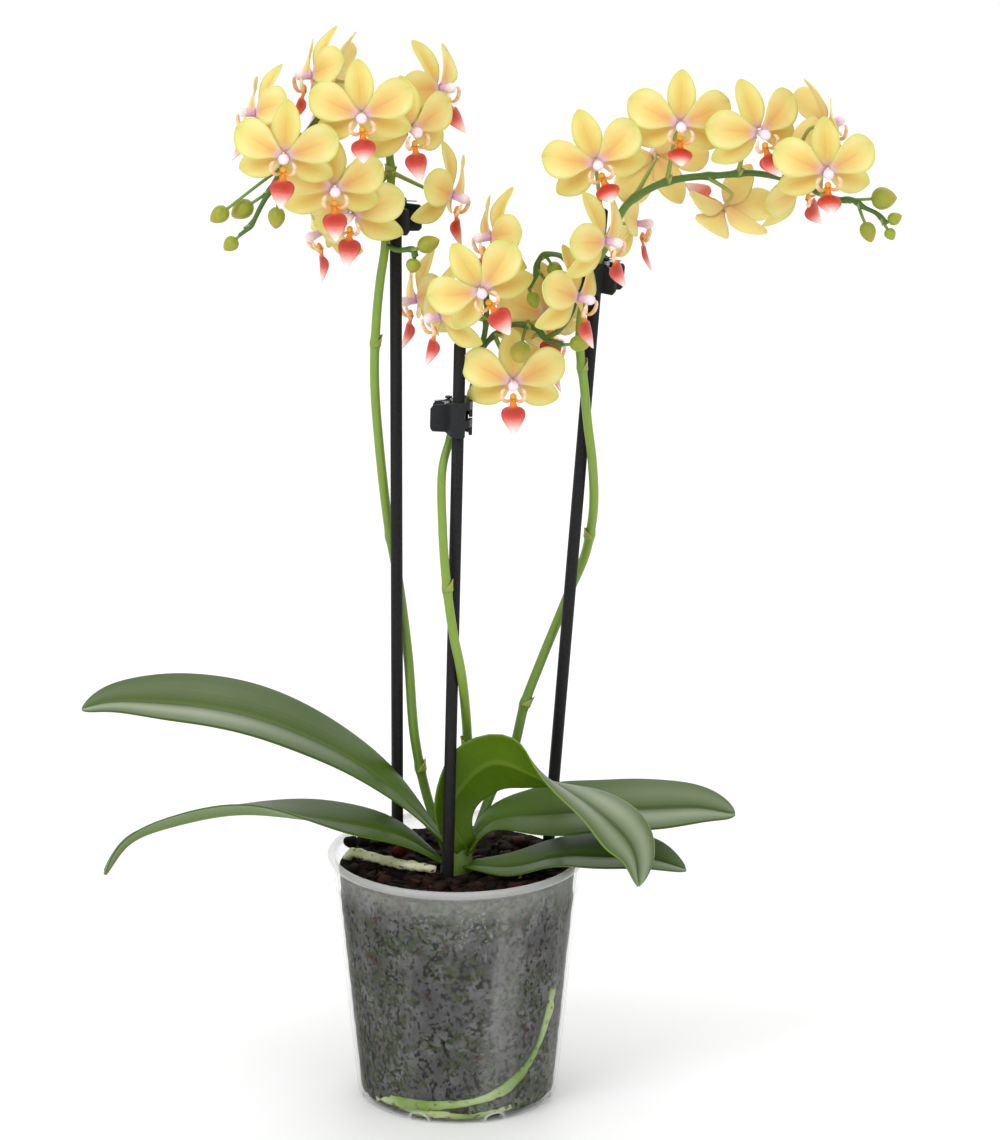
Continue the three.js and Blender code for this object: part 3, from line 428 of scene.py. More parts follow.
def pot_material():
    """Thin clear plastic, with a painted reflection in pale vertical streaks and at its edges. The tint of a
    point is how milky it is there, as at the thick rim.
    """
    s = Surface("pot", 0.2, **{"Specular IOR Level": 0.6})
    cloud = s.noise(30, 4, 0.6, (1, 1, 0.5))
    # Vertical streaks that raise the haze: a painted reflection of lamps in the wall.
    streaks = s.noise(55, 3, stretch=(1, 1, 0.03))
    scratches = s.mask(s.noise(160, 2, 0.6, (1, 0.3, 0.5)), 0.66, 0.7)
    drops = s.mask(s.noise(620, 1), 0.66, 0.7)
    marks = s.mix(1.0, scratches, drops, "LIGHTEN")
    marks = s.mix(1.0, marks, s.mask(cloud, 0.6, 0.68), "MULTIPLY")
    haze = s.mix(s.mask(cloud, 0.35, 0.75), grey(0.01), grey(0.04))
    haze = s.mix(s.mask(streaks, 0.5, 0.7), haze, grey(0.1), "LIGHTEN")
    haze = s.mix(marks, haze, grey(0.3))
    haze = s.mix(tinted(s), haze, grey(0.42))
    # The wall is made more opaque, so paler, where it is seen edge-on: a painted reflection.
    edge = s.mask(s.add("LayerWeight", Blend=0.3).outputs["Facing"], 0.5, 1.0)
    s.feed(s.shader.inputs["Alpha"], s.mix(edge, haze, grey(0.45), "LIGHTEN"))
    colour = s.mix(cloud, rgb("d3d4d2"), rgb("f0f1ef"))
    normal = s.bump(marks, 0.3, 0.3, s.bump(cloud, 0.25, 0.5))
    return s.finish(colour, normal, s.ramp(cloud, (0.3, grey(0.14)), (0.8, grey(0.3))))


def mix_material():
    s = Surface("mix", 0.9, **{"Specular IOR Level": 0.1})
    cloud = s.noise(90, 4, 0.6)
    colour = s.ramp(cloud, (0.32, rgb("363435")), (0.5, rgb("4a4849")), (0.66, rgb("5f5d5f")))
    rust = s.mask(s.noise(75, 2, stretch=(1, 1, 1.3)), 0.66, 0.7)
    colour = s.mix(rust, colour, rgb("3f221c"))
    drifts = s.mask(s.noise(42, 3, 0.7), 0.44, 0.52)
    moss = s.mix(1.0, drifts, s.mask(s.noise(380, 3, 0.6), 0.5, 0.53), "MULTIPLY")
    colour = s.mix(moss, colour, rgb("2c3a10"))
    specks = s.mask(s.noise(430, 2, 0.6, (1, 1, 0.8)), 0.55, 0.57)
    colour = s.mix(specks, colour, rgb("0c0b0a"))
    colour = s.mix(1.0, colour, tinted(s), "MULTIPLY")
    return s.finish(colour, s.bump(s.noise(700, 3), 0.3, 0.6))


def bark_material():
    s = Surface("bark", 0.85, **{"Specular IOR Level": 0.15})
    fibres = s.noise(420, 4, 0.65, (1, 1, 3))
    colour = s.mix(fibres, tinted(s), (0.4, 0.38, 0.36), "MULTIPLY")
    return s.finish(colour, s.bump(fibres, 0.7, 1.0))


def root_material():
    s = Surface("root", 0.6, **{"Subsurface Weight": 0.1, "Subsurface Scale": 0.002})
    patches = s.mask(s.noise(150, 3), 0.45, 0.65)
    colour = s.mix(patches, tinted(s), (0.8, 0.84, 0.62), "MULTIPLY")
    flecks = s.mask(s.noise(420, 2), 0.63, 0.67)
    colour = s.mix(flecks, colour, rgb("5a4a34"))
    return s.finish(colour, s.bump(s.noise(900, 3), 0.5, 0.6))


def plastic_material(name, colour, roughness, speckle):
    s = Surface(name, roughness, **{"Specular IOR Level": 0.16})
    fine = s.noise(speckle, 3)
    shade = s.mix(fine, rgb(colour), blend(rgb(colour), (1, 1, 1), 0.02))
    scuffs = s.noise(150, 4, 0.7, (1, 1, 0.2))
    gloss = s.ramp(scuffs, (0.3, grey(roughness - 0.08)), (0.7, grey(roughness + 0.12)))
    return s.finish(shade, s.bump(fine, 0.15, 0.2), gloss)


def steel_material():
    s = Surface("spring", 0.3, **{"Metallic": 1.0})
    drawn = s.noise(900, 2, stretch=(1, 1, 4))
    return s.finish(s.mix(drawn, rgb("8f9296"), rgb("b4b7ba")), s.bump(drawn, 0.1, 0.1))


def floor_material():
    s = Surface("floor", 0.6)
    return s.finish(s.mix(s.noise(40, 3), grey(0.925), grey(0.94)))


# ---------------------------------------------------------------- meshes
class Skin:
    """The points, faces, colours and grain coordinates of one piece, gathered before its mesh is made."""

    def __init__(self):
        self.points, self.tints, self.grain = [], [], []
        self.faces, self.slots = [], []

    def point(self, place, tint, grain=(0, 0)):
        self.points.append(Vector(place) * MM)
        self.tints.append(tint)
        self.grain.append(grain)
        return len(self.points) - 1

    def face(self, corners, slot=0):
        self.faces.append(corners)
        self.slots.append(slot)

    def band(self, lower, upper, slot=0):
        """The faces between two rings of points, either of which may be a single point."""
        sides = max(len(lower), len(upper))
        for j in range(sides):
            k = (j + 1) % sides
            corners = [ring[n % len(ring)] for ring, n in ((lower, j), (lower, k), (upper, k), (upper, j))]
            self.face(tuple(dict.fromkeys(corners)), slot)

    def caps(self, first, last, slot=0):
        """The flat ends of a row of rings."""
        self.face(tuple(reversed(first)), slot)
        self.face(tuple(last), slot)

    def piece(self, name, materials):
        mesh = bpy.data.meshes.new(name)
        mesh.from_pydata(self.points, [], self.faces)
        colours = mesh.color_attributes.new("tint", "FLOAT_COLOR", "POINT")
        for i, tint in enumerate(self.tints):
            colours.data[i].color = (*tint, 1)
        layer = mesh.uv_layers.new(name="grain")
        for loop in mesh.loops:
            layer.data[loop.index].uv = self.grain[loop.vertex_index]
        for polygon, slot in zip(mesh.polygons, self.slots):
            polygon.material_index = slot
            polygon.use_smooth = True
        for material in materials:
            mesh.materials.append(material)
        mesh.update()
        piece = bpy.data.objects.new(name, mesh)
        bpy.context.scene.collection.objects.link(piece)
        return piece


def settle(piece, replaced, body=ROOT_BODY):
    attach(piece, body)
    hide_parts(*replaced)
    return piece


class Curve:
    """A smooth curve through points, with even steps between roots of their distances."""

    def __init__(self, points, samples=12):
        self.points = [Vector(p) for p in points]
        self.fine = [self.at(i / samples) for i in range((len(points) - 1) * samples + 1)]
        lengths = [0]
        for a, b in zip(self.fine, self.fine[1:]):
            lengths.append(lengths[-1] + (b - a).length)
        self.lengths = lengths
        self.samples = samples

    def at(self, node):
        """The point at a node number, which may lie between two nodes."""
        points = self.points
        last = len(points) - 1
        i = min(int(node), last - 1)
        t = node - i
        b, c = points[i], points[i + 1]
        a = points[i - 1] if i else b + (b - c)
        d = points[i + 2] if i + 2 <= last else c + (c - b)
        steps = [max((q - p).length, 1e-6) ** 0.5 for p, q in ((a, b), (b, c), (c, d))]
        m1 = ((b - a) / steps[0] - (c - a) / (steps[0] + steps[1]) + (c - b) / steps[1]) * steps[1]
        m2 = ((c - b) / steps[1] - (d - b) / (steps[1] + steps[2]) + (d - c) / steps[2]) * steps[1]
        return (b + m1 * t + (3 * (c - b) - 2 * m1 - m2) * t ** 2 + (2 * (b - c) + m1 + m2) * t ** 3)

    def node(self, share):
        """The node number at a share of the length."""
        target = share * self.lengths[-1]
        low = 0
        while low < len(self.lengths) - 2 and self.lengths[low + 1] < target:
            low += 1
        span = self.lengths[low + 1] - self.lengths[low]
        return (low + (target - self.lengths[low]) / span) / self.samples

    def tangent(self, node):
        last = len(self.points) - 1
        return (self.at(min(node + 0.01, last)) - self.at(max(node - 0.01, 0))).normalized()


def tube(skin, centres, radius, tint, sides=12, slot=0, knobs=0.0, spread=1.0):
    """A tube through close points. radius and tint are functions of the share of the way along.

    knobs roughens it, and spread widens it along the wall of the pot.
    """
    count = len(centres)
    side = Vector((0, 0, 1)).cross(centres[1] - centres[0])
    side = side.normalized() if side.length > 1e-6 else Vector((1, 0, 0))
    rings = []
    for i, centre in enumerate(centres):
        along = (centres[min(i + 1, count - 1)] - centres[max(i - 1, 0)]).normalized()
        side = (side - along * side.dot(along)).normalized()
        other = along.cross(side)
        share = i / (count - 1)
        ring = []
        for j in range(sides):
            turn = 2 * math.pi * j / sides
            ray = side * math.cos(turn) + other * math.sin(turn)
            if spread != 1:
                level = along.cross(Vector((centre.x, centre.y, 0))).normalized()
                ray = ray + level * ray.dot(level) * (spread - 1)
            reach = radius(share)
            if knobs:
                reach *= 1 + knobs * noise.noise((centre + ray * reach) * 0.35)
            ring.append(skin.point(centre + ray * reach, tint(share), (j / sides, share)))
        rings.append(ring)
    for lower, upper in zip(rings, rings[1:]):
        skin.band(lower, upper, slot)
    skin.caps(rings[0], rings[-1], slot)


def turned(skin, profile, matrix, tint, sides=12, slot=0, shape=None):
    """A form turned from (radius, height, share) points, bottom to top on its +Z, and placed by matrix."""
    rings = []
    for radius, height, share in profile:
        ring = []
        for j in range(sides if radius > 0 else 1):
            turn = 2 * math.pi * j / sides
            reach = radius * (shape(turn) if shape else 1)
            place = Vector((reach * math.cos(turn), reach * math.sin(turn), height))
            ring.append(skin.point(matrix @ place, tint(share), (j / sides, share)))
        rings.append(ring)
    for lower, upper in zip(rings, rings[1:]):
        skin.band(lower, upper, slot)


def sheet(skin, rows, thickness, front, back, slot=0):
    """A thick sheet over rows of points, from root to tip.

    thickness, front and back give its thickness and the tints of its sides at (across, along), where across
    runs from -1 to 1 and along from 0 to 1.
    """
    last_row, last = len(rows) - 1, len(rows[0]) - 1
    grids = []
    for face, tint in ((1, front), (-1, back)):
        grid = []
        for i, row in enumerate(rows):
            line = []
            for j, place in enumerate(row):
                along = rows[min(i + 1, last_row)][j] - rows[max(i - 1, 0)][j]
                across = row[min(j + 1, last)] - row[max(j - 1, 0)]
                if across.length < 1e-4:
                    across = rows[i - 1][-1] - rows[i - 1][0]
                s, u = 2 * j / last - 1, i / last_row
                offset = across.cross(along).normalized() * face * thickness(s, u) / 2
                line.append(skin.point(place + offset, tint(s, u), (s, u)))
            grid.append(line)
        grids.append(grid)
    top, under = grids
    for i in range(last_row):
        for j in range(last):
            skin.face((top[i][j], top[i][j + 1], top[i + 1][j + 1], top[i + 1][j]), slot)
            skin.face((under[i][j + 1], under[i][j], under[i + 1][j], under[i + 1][j + 1]), slot)
    rim = [(0, j) for j in range(last)] + [(i, last) for i in range(last_row)]
    rim += [(last_row, j) for j in range(last, 0, -1)] + [(i, 0) for i in range(last_row, 0, -1)]
    for (i, j), (k, m) in zip(rim, rim[1:] + rim[:1]):
        skin.face((under[i][j], under[k][m], top[k][m], top[i][j]), slot)


# ---------------------------------------------------------------- pot
RIM_EDGE = 0.8
POT_SIDES = 96
DRAIN_REACH = (36, 60)
DRAIN_ARCH_FOOT = 0.3
SHARP_EDGE = 35


def wall_radius(z):
    top = POT_RIM_RADIUS - RIM_OVERHANG
    return POT_FOOT_RADIUS + (top - POT_FOOT_RADIUS) * z / POT_HEIGHT


def arc(centre, radius, start, end, steps):
    """Points round a centre in the plane of a profile, from start to end degrees."""
    turns = [math.radians(start + (end - start) * i / steps) for i in range(steps + 1)]
    return [(centre[0] + radius * math.cos(t), centre[1] + radius * math.sin(t)) for t in turns]


def milkiness(z):
    """How milky the wall is at a height: most at the rim, a little above the shoulder and at the foot."""
    rim = min((z - POT_HEIGHT + RIM_HEIGHT + 1.5) / 2, 0.85)
    foot = min((2.5 - z) / 6, 0.3)
    shoulder = min((z - SHOULDER_HEIGHT) / 40, 0.2)
    return max(rim, foot, shoulder, 0)


def make_pot(material):
    under = POT_HEIGHT - RIM_HEIGHT
    foot = POT_FOOT_RADIUS - FOOT_ROUNDING
    roll = RIM_HEIGHT / 2
    profile = [(0, 0), (foot * 0.5, 0)]
    profile += arc((foot, FOOT_ROUNDING), FOOT_ROUNDING, -90, 0, 5)
    profile += [(wall_radius(z), z) for z in (6, 9, 30, 65, 85, 97, SHOULDER_HEIGHT - 1.5)]
    profile += [(wall_radius(SHOULDER_HEIGHT) - SHOULDER_STEP, SHOULDER_HEIGHT)]
    profile += [(wall_radius(SHOULDER_HEIGHT), SHOULDER_HEIGHT + SHOULDER_STEP)]
    profile += [(wall_radius(z), z) for z in (SHOULDER_HEIGHT + 2, under - 4, under - 1.5, under - 0.4)]
    profile += [(POT_RIM_RADIUS - RIM_EDGE, under)]
    profile += arc((POT_RIM_RADIUS - roll, under + roll), roll, -50, 90, 6)
    profile += arc((wall_radius(POT_HEIGHT) - RIM_EDGE / 2, POT_HEIGHT - RIM_EDGE), RIM_EDGE, 90, 180, 3)
    profile += [(wall_radius(z) - POT_WALL, z) for z in (under - 1, under - 4, 97, 65, 30, 9, 6)]
    profile += arc((foot - POT_WALL, FOOT_ROUNDING + POT_WALL), FOOT_ROUNDING, 0, -90, 4)
    profile += [(foot * 0.5, POT_WALL), (0, POT_WALL)]
    skin = Skin()
    tint = lambda share: grey(milkiness(share * POT_HEIGHT))
    turned(skin, [(r, z, z / POT_HEIGHT) for r, z in profile], Matrix.Identity(4), tint, POT_SIDES)
    pot = skin.piece("pot_wall", [material])
    cut_drains(pot)
    return settle(pot, ["pot"])


def cut_drains(pot):
    """Arched notches round the foot."""
    half = DRAIN_WIDTH / 2
    arch = [(-half, -2), (half, -2), (half, DRAIN_HEIGHT * DRAIN_ARCH_FOOT)]
    for t in (0.5, 1.05, 1.57, 2.09, 2.64):
        rise = DRAIN_ARCH_FOOT + (1 - DRAIN_ARCH_FOOT) * math.sin(t)
        arch.append((half * math.cos(t), DRAIN_HEIGHT * rise))
    arch.append((-half, DRAIN_HEIGHT * DRAIN_ARCH_FOOT))
    cutter = bpy.data.meshes.new("drain_cutter")
    form = bmesh.new()
    for i in range(DRAIN_SLOTS):
        turn = Matrix.Rotation((i + 0.5) * 2 * math.pi / DRAIN_SLOTS, 4, "Z")
        inner, outer = [
            [form.verts.new((turn @ Vector((x, reach, z))) * MM) for x, z in arch] for reach in DRAIN_REACH
        ]
        form.faces.new(inner)
        form.faces.new(list(reversed(outer)))
        for a in range(len(arch)):
            b = (a + 1) % len(arch)
            form.faces.new((inner[b], inner[a], outer[a], outer[b]))
    bmesh.ops.recalc_face_normals(form, faces=form.faces)
    form.to_mesh(cutter)
    form.free()
    tool = bpy.data.objects.new("drain_cutter", cutter)
    bpy.context.scene.collection.objects.link(tool)
    cut = pot.modifiers.new("drains", "BOOLEAN")
    cut.operation = "DIFFERENCE"
    cut.solver = "EXACT"
    cut.object = tool
    graph = bpy.context.evaluated_depsgraph_get()
    pot.data = bpy.data.meshes.new_from_object(pot.evaluated_get(graph))
    pot.data.set_sharp_from_angle(angle=math.radians(SHARP_EDGE))
    pot.modifiers.clear()
    bpy.data.objects.remove(tool)


# ---------------------------------------------------------------- growing mix
MIX_SIDES = 160
MIX_LEVELS = 56
MIX_FOOT = POT_WALL + 0.4
MIX_EDGE = wall_radius(MIX_TOP) - POT_WALL - SHOULDER_STEP - SEAT_GAP
# The brown of the top of the mix, darkened further as painted shade, as under the leaves.
MIX_TOP_BROWN_AND_SHADE = rgb("6a5548")
# What the mix is multiplied by where moss grows, at its top and round its foot.
MIX_MOSS = (1.25, 1.5, 0.65)
CHIP_COUNT = 300
CHIP_SIZES = (1.8, 4.4)
# Browns of the bark chips, their own dark bark colour darkened further as painted shade.
CHIP_BROWNS_AND_SHADE = ("2a140e", "331d14", "160f0c", "3c2118", "1d1310", "462c1e", "0f0b09")
CROWN_CLEARANCE = 12
STAKE_CLEARANCE = 6
ROOT_CLEARANCE = 6


def mix_height(x, y):
    bump = MIX_BUMP * math.sin(x * 0.33 + 1.1) * math.cos(y * 0.29 - 0.4)
    return MIX_TOP + bump - MIX_DISH * max(1 - math.hypot(x, y) / MIX_EDGE, 0) ** 2


def along_wall(route, radius):
    """The points of a root that lies against the wall, from its angles and heights."""
    points = []
    for turn, z in route:
        reach = wall_radius(z) - POT_WALL - SEAT_GAP - radius
        points.append((reach * math.sin(math.radians(turn)), -reach * math.cos(math.radians(turn)), z))
    return points


def mix_side(z, root):
    """A ring of the mix against the wall, drawn in where the long root lies, with its tint."""
    inside = wall_radius(z) - POT_WALL - SEAT_GAP - (SHOULDER_STEP if z > SHOULDER_HEIGHT - 2 else 0)
    ring = []
    for j in range(MIX_SIDES):
        turn = 2 * math.pi * j / MIX_SIDES
        place = Vector((inside * math.cos(turn), inside * math.sin(turn), z))
        reach = inside - (3 if z == MIX_FOOT else 0.1 + 0.35 * (1 + noise.noise(place * 0.22)))
        near = min((place - p).length for p in root)
        reach -= max(4.4 - near, 0) * 0.8
        place.xy *= reach / inside
        ring.append(place)
    return ring, blend((1, 1, 1), MIX_MOSS, max((z - MIX_TOP + 7) / 9, (11 - z) / 9) * 0.9)


def mix_top(share):
    """A ring of the surface of the mix, at a share of the way out, tinted with its brown and with painted
    shade.
    """
    ring = []
    for j in range(MIX_SIDES):
        turn = 2 * math.pi * j / MIX_SIDES
        x, y = MIX_EDGE * share * math.cos(turn), MIX_EDGE * share * math.sin(turn)
        rough = 0.7 * noise.noise(Vector((x, y, 0)) * 0.3)
        ring.append((x, y, mix_height(x, y) - 0.7 + rough))
    return ring, MIX_TOP_BROWN_AND_SHADE


def make_mix(material, bark, root_skin):
    skin = Skin()
    root = Curve(along_wall(WALL_ROOT, WALL_ROOT_RADIUS)).fine
    foot = MIX_FOOT + 1.8
    rise = MIX_TOP - MIX_BUMP - foot
    heights = [MIX_FOOT] + [foot + rise * i / MIX_LEVELS for i in range(MIX_LEVELS + 1)]
    forms = [mix_side(z, root) for z in heights]
    forms += [mix_top(share) for share in (0.97, 0.9, 0.8, 0.7, 0.6, 0.5, 0.4, 0.3, 0.2, 0.1)]
    rings = [[skin.point(place, tint) for place in ring] for ring, tint in forms]
    for lower, upper in zip(rings, rings[1:]):
        skin.band(lower, upper)
    skin.caps(rings[0], rings[-1])
    for place, size, tint in BARK_LUMPS:
        add_lump(skin, Vector(place), size, rgb(tint))
    add_chips(skin)
    low = Curve(along_wall(FOOT_ROOT, FOOT_ROOT_RADIUS)).fine
    tint = lambda share: blend(rgb("77903f"), rgb("a9b584"), 0.5 + 0.5 * math.sin(share * 15))
    tube(skin, low, lambda share: FOOT_ROOT_RADIUS, tint, 10, 2, knobs=0.3, spread=1.5)
    return settle(skin.piece("bark_mix", [material, bark, root_skin]), ["growing_mix"])


def add_lump(skin, place, size, tint):
    """A rough lump, as a turned form whose sides are broken up."""
    steps = 7
    profile = []
    for i in range(steps + 1):
        t = math.pi * i / steps
        profile.append((size * math.sin(t) if 0 < i < steps else 0, -size * 0.8 * math.cos(t), 0))
    first = len(skin.points)
    turned(skin, profile, Matrix.Translation(place), lambda share: tint, 9, 1)
    for i in range(first, len(skin.points)):
        out = skin.points[i] - place * MM
        skin.points[i] = place * MM + out * (1 + 0.5 * noise.noise(skin.points[i] * 260))


def add_chips(skin):
    """Chips of bark strewn over the mix, clear of crown and stakes, and lower beside the surface root."""
    draw = random.Random(11)
    # The browns of the chips carry painted shade.
    browns_and_shade = [rgb(c) for c in CHIP_BROWNS_AND_SHADE]
    limit = wall_radius(MIX_TOP) - POT_WALL - 2
    stakes = []
    for foot, top in STAKES.values():
        stakes.append(Vector(foot).lerp(Vector(top), (MIX_TOP - foot[2]) / (top[2] - foot[2])).xy)
    surface_root = Curve(ROOTS["root_surface"][1]).fine
    chips = []
    while len(chips) < CHIP_COUNT:
        size = draw.uniform(*CHIP_SIZES)
        reach, turn = (limit - size) * math.sqrt(draw.random()), draw.uniform(0, 2 * math.pi)
        place = Vector((reach * math.cos(turn), reach * math.sin(turn)))
        to_stake = min((place - stake).length for stake in stakes)
        if place.length < CROWN_CLEARANCE or to_stake < STAKE_CLEARANCE:
            continue
        near = min((place - p.xy).length for p in surface_root)
        rise = size * draw.uniform(0.25, 0.5 if near > ROOT_CLEARANCE else 0.3)
        chips.append((place, size, rise, draw.choice(browns_and_shade)))
    for place, size, rise, tint in chips:
        spin = Matrix.Rotation(draw.uniform(0, 2 * math.pi), 3, "Z")
        spin = spin @ Matrix.Rotation(draw.uniform(-0.5, 0.5), 3, "X")
        shape = Vector((size, size * draw.uniform(0.5, 0.9), rise))
        centre = Vector((*place, mix_height(*place) - 1.2 + rise * 0.5))
        add_chip(skin, draw, centre, spin, shape, tint)


def add_chip(skin, draw, centre, spin, shape, tint):
    """A block whose corners are drawn in at random."""
    ends = (-1, 1)
    corners = {}
    for key in [(a, b, c) for a in ends for b in ends for c in ends]:
        jitter = [draw.uniform(0.6, 1.0) for _ in range(3)]
        corner = Vector([end * half * share for end, half, share in zip(key, shape, jitter)])
        corners[key] = skin.point(centre + spin @ corner, tint)
    for axis, end in [(axis, end) for axis in range(3) for end in ends]:
        ring = []
        for key in ((-1, -1), (1, -1), (1, 1), (-1, 1)):
            ring.append(corners[(*key[:axis], end, *key[axis:])])
        flip = (end == 1) == (axis == 1)
        skin.face(tuple(reversed(ring)) if flip else tuple(ring), 1)


# ---------------------------------------------------------------- roots, crown, stakes
def make_roots(material):
    pale, green, faded = rgb("d9d9bc"), rgb("8fc03a"), rgb("a3ad68")
    for name, (radius, points) in ROOTS.items():
        skin = Skin()
        shade = pale if name == "root_surface" else green
        tint = lambda share: blend(shade, faded, 0.45 * share + 0.25 * math.sin(share * 21))
        blunt = lambda share: radius * (1 - 0.35 * (2 * share - 1) ** 8)
        tube(skin, Curve(points).fine, blunt, tint, 18, knobs=0.34)
        settle(skin.piece(name + "_fine", [material]), [name])
    skin = Skin()
    tint = lambda share: blend(rgb("6f9032"), rgb("a3b877"), 0.4 + 0.6 * math.sin(share * 13))
    path = Curve(along_wall(WALL_ROOT, WALL_ROOT_RADIUS)).fine
    swell = lambda share: WALL_ROOT_RADIUS * (0.85 + 0.25 * math.sin(share * 17))
    tube(skin, path, swell, tint, 12, knobs=0.3, spread=1.6)
    settle(skin.piece("root_wall_fine", [material]), ["root_wall"])


# The crown as (radius, height).
CROWN = ((0, 90), (6, 91), (8, 102), (7.5, 112), (6.6, 118), (5.2, 122), (3, 125), (0, 126))


def make_crown(material):
    skin = Skin()
    low, high = CROWN[0][1], CROWN[-1][1]
    tint = lambda share: blend(rgb("8a8f4a"), rgb("5e8a2c"), share)
    profile = [(r, z, (z - low) / (high - low)) for r, z in CROWN]
    turned(skin, profile, Matrix.Identity(4), tint, 24)
    settle(skin.piece("crown_fine", [material]), ["crown"])


def on_axis(place, along):
    return Matrix.Translation(place) @ along.to_track_quat("Z", "Y").to_matrix().to_4x4()


def make_stakes(material):
    for name, (foot, top) in STAKES.items():
        skin = Skin()
        foot, top = Vector(foot), Vector(top)
        length = (top - foot).length
        profile = [(0, 0), (STAKE_RADIUS - 0.5, 0), (STAKE_RADIUS, 0.6), (STAKE_RADIUS, length * 0.5)]
        profile += [(STAKE_RADIUS, length - 0.9), (STAKE_RADIUS - 0.6, length - 0.1), (0, length)]
        profile = [(r, z, z / length) for r, z in profile]
        turned(skin, profile, on_axis(foot, top - foot), lambda share: grey(1), 28)
        settle(skin.piece(name + "_fine", [material]), [name])


# ---------------------------------------------------------------- clips
JAW_ROUNDING = 0.3
SPRING_WIRE = 0.32
SPRING_RADIUS = 1.75
SPRING_TURNS = 3.5
SPRING_STEPS = 42
SPRING_LOW, SPRING_HIGH = 6, 7.9


def make_jaw(node, body, plastic):
    """A jaw as its solid has it, with rounded edges."""
    mesh = frame["nodes"][node].data.copy()
    mesh.materials.clear()
    mesh.materials.append(plastic)
    jaw = bpy.data.objects.new(node + "_fine", mesh)
    bpy.context.scene.collection.objects.link(jaw)
    form = bmesh.new()
    form.from_mesh(mesh)
    bmesh.ops.remove_doubles(form, verts=form.verts, dist=0.02 * MM)
    bmesh.ops.dissolve_limit(form, angle_limit=math.radians(2), verts=form.verts, edges=form.edges)
    form.to_mesh(mesh)
    form.free()
    rounding = jaw.modifiers.new("rounding", "BEVEL")
    rounding.width = JAW_ROUNDING * MM
    rounding.segments = 2
    rounding.limit_method = "ANGLE"
    rounding.angle_limit = math.radians(25)
    rounding.harden_normals = True
    settle(jaw, [node], body)


def make_clips(plastic, steel):
    for joint in frame["joints"]:
        clip = joint["name"].removesuffix("_hinge")
        middle = Vector((0, 0, 0))
        for end, body in (("_fixed_jaw", joint["parent"]), ("_swinging_jaw", joint["child"])):
            make_jaw(clip + end, body, plastic)
            low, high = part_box(clip + end)
            middle += (low + high) / 4
        wind_spring(clip, joint, middle / MM, steel)


def wind_spring(clip, joint, middle, steel):
    """A wire spring wound on the pin, its two ends towards the grips."""
    pin, up = Vector(joint["pos_m"]) / MM, -Vector(joint["axis"])
    reach = middle - pin
    claws = (reach - up * reach.dot(up)).normalized()
    side = up.cross(claws)
    at = lambda x, y, z: pin + claws * x + side * y + up * z
    points = [at(-5.6, 4.6, SPRING_LOW + 0.1), at(-3.2, 3.4, SPRING_LOW)]
    for i in range(SPRING_STEPS + 1):
        share = i / SPRING_STEPS
        angle = math.pi * 0.75 + 2 * math.pi * SPRING_TURNS * share
        height = SPRING_LOW - 0.05 + (SPRING_HIGH - SPRING_LOW) * share
        points.append(at(SPRING_RADIUS * math.cos(angle), SPRING_RADIUS * math.sin(angle), height))
    points += [at(-3.2, -3.4, SPRING_HIGH), at(-5.6, -4.6, SPRING_HIGH)]
    skin = Skin()
    tube(skin, points, lambda share: SPRING_WIRE, lambda share: grey(1), 8)
    settle(skin.piece(clip + "_spring_wire", [steel]), [clip + "_spring"], joint["parent"])


# ---------------------------------------------------------------- leaves
LEAF_ROOT_SHARE = 0.24
LEAF_WIDEST = 0.6
LEAF_FOLD = 0.34
LEAF_DROOP = 0.16
LEAF_TAPER = 1.1
LEAF_BLUNTNESS = 2.4
LEAF_ROWS = 56
LEAF_COLUMNS = 33
LEAF_GROOVE = 0.5
LEAF_EASING = 30
INNER_EDGE_PASSES = 16
# On the next line the second colour is painted shade for the groove of the midrib, the third a painted
# highlight beside it, and the fourth the grey of the painted sheen.
LEAF_DEEP, LEAF_GROOVE_SHADE, LEAF_RIB_HIGHLIGHT, LEAF_PAINTED_SHEEN = rgb("3f5712"), rgb("24360c"), rgb("667f36"), rgb("98a189")
LEAF_EDGE, LEAF_PALE_EDGE, LEAF_ROOT = rgb("2f420f"), rgb("8fa65c"), rgb("56751a")
LEAF_UNDER, LEAF_KEEL = rgb("5a7814"), rgb("7d9636")
# How strong the painted grey sheen, a painted reflection of the bright surroundings, is on the left and on
# the right half of a leaf.
LEAF_SHINE = {
    "leaf_upper_left": (0.9, 0.2),
    "leaf_lower_left": (0.4, 0.5),
    "leaf_folded": (0.8, 0.65),
    "leaf_upper_right": (0.35, 0.7),
    "leaf_lower_right": (0.05, 0.5),
}


def leaf_half_width(width, u):
    if u < LEAF_WIDEST:
        share = math.sin(math.pi / 2 * (u / LEAF_WIDEST) ** LEAF_TAPER)
        return width / 2 * (LEAF_ROOT_SHARE + (1 - LEAF_ROOT_SHARE) * share)
    past = (u - LEAF_WIDEST) / (1 - LEAF_WIDEST)
    return width / 2 * max(1 - past ** LEAF_BLUNTNESS, 0) ** 0.53


def ease_inner_edge(rows):
    """Rows whose left half is drawn smooth along the leaf, the more so the nearer to its edge."""
    middle = (LEAF_COLUMNS - 1) / 2
    shares = [0.5 * max(1 - j / middle, 0) for j in range(LEAF_COLUMNS)]
    for _ in range(INNER_EDGE_PASSES):
        eased = []
        for a, b, c in zip(rows, rows[1:], rows[2:]):
            eased.append([q + ((p + r) / 2 - q) * share for p, q, r, share in zip(a, b, c, shares)])
        rows = [rows[0]] + eased + [rows[-1]]
    return rows


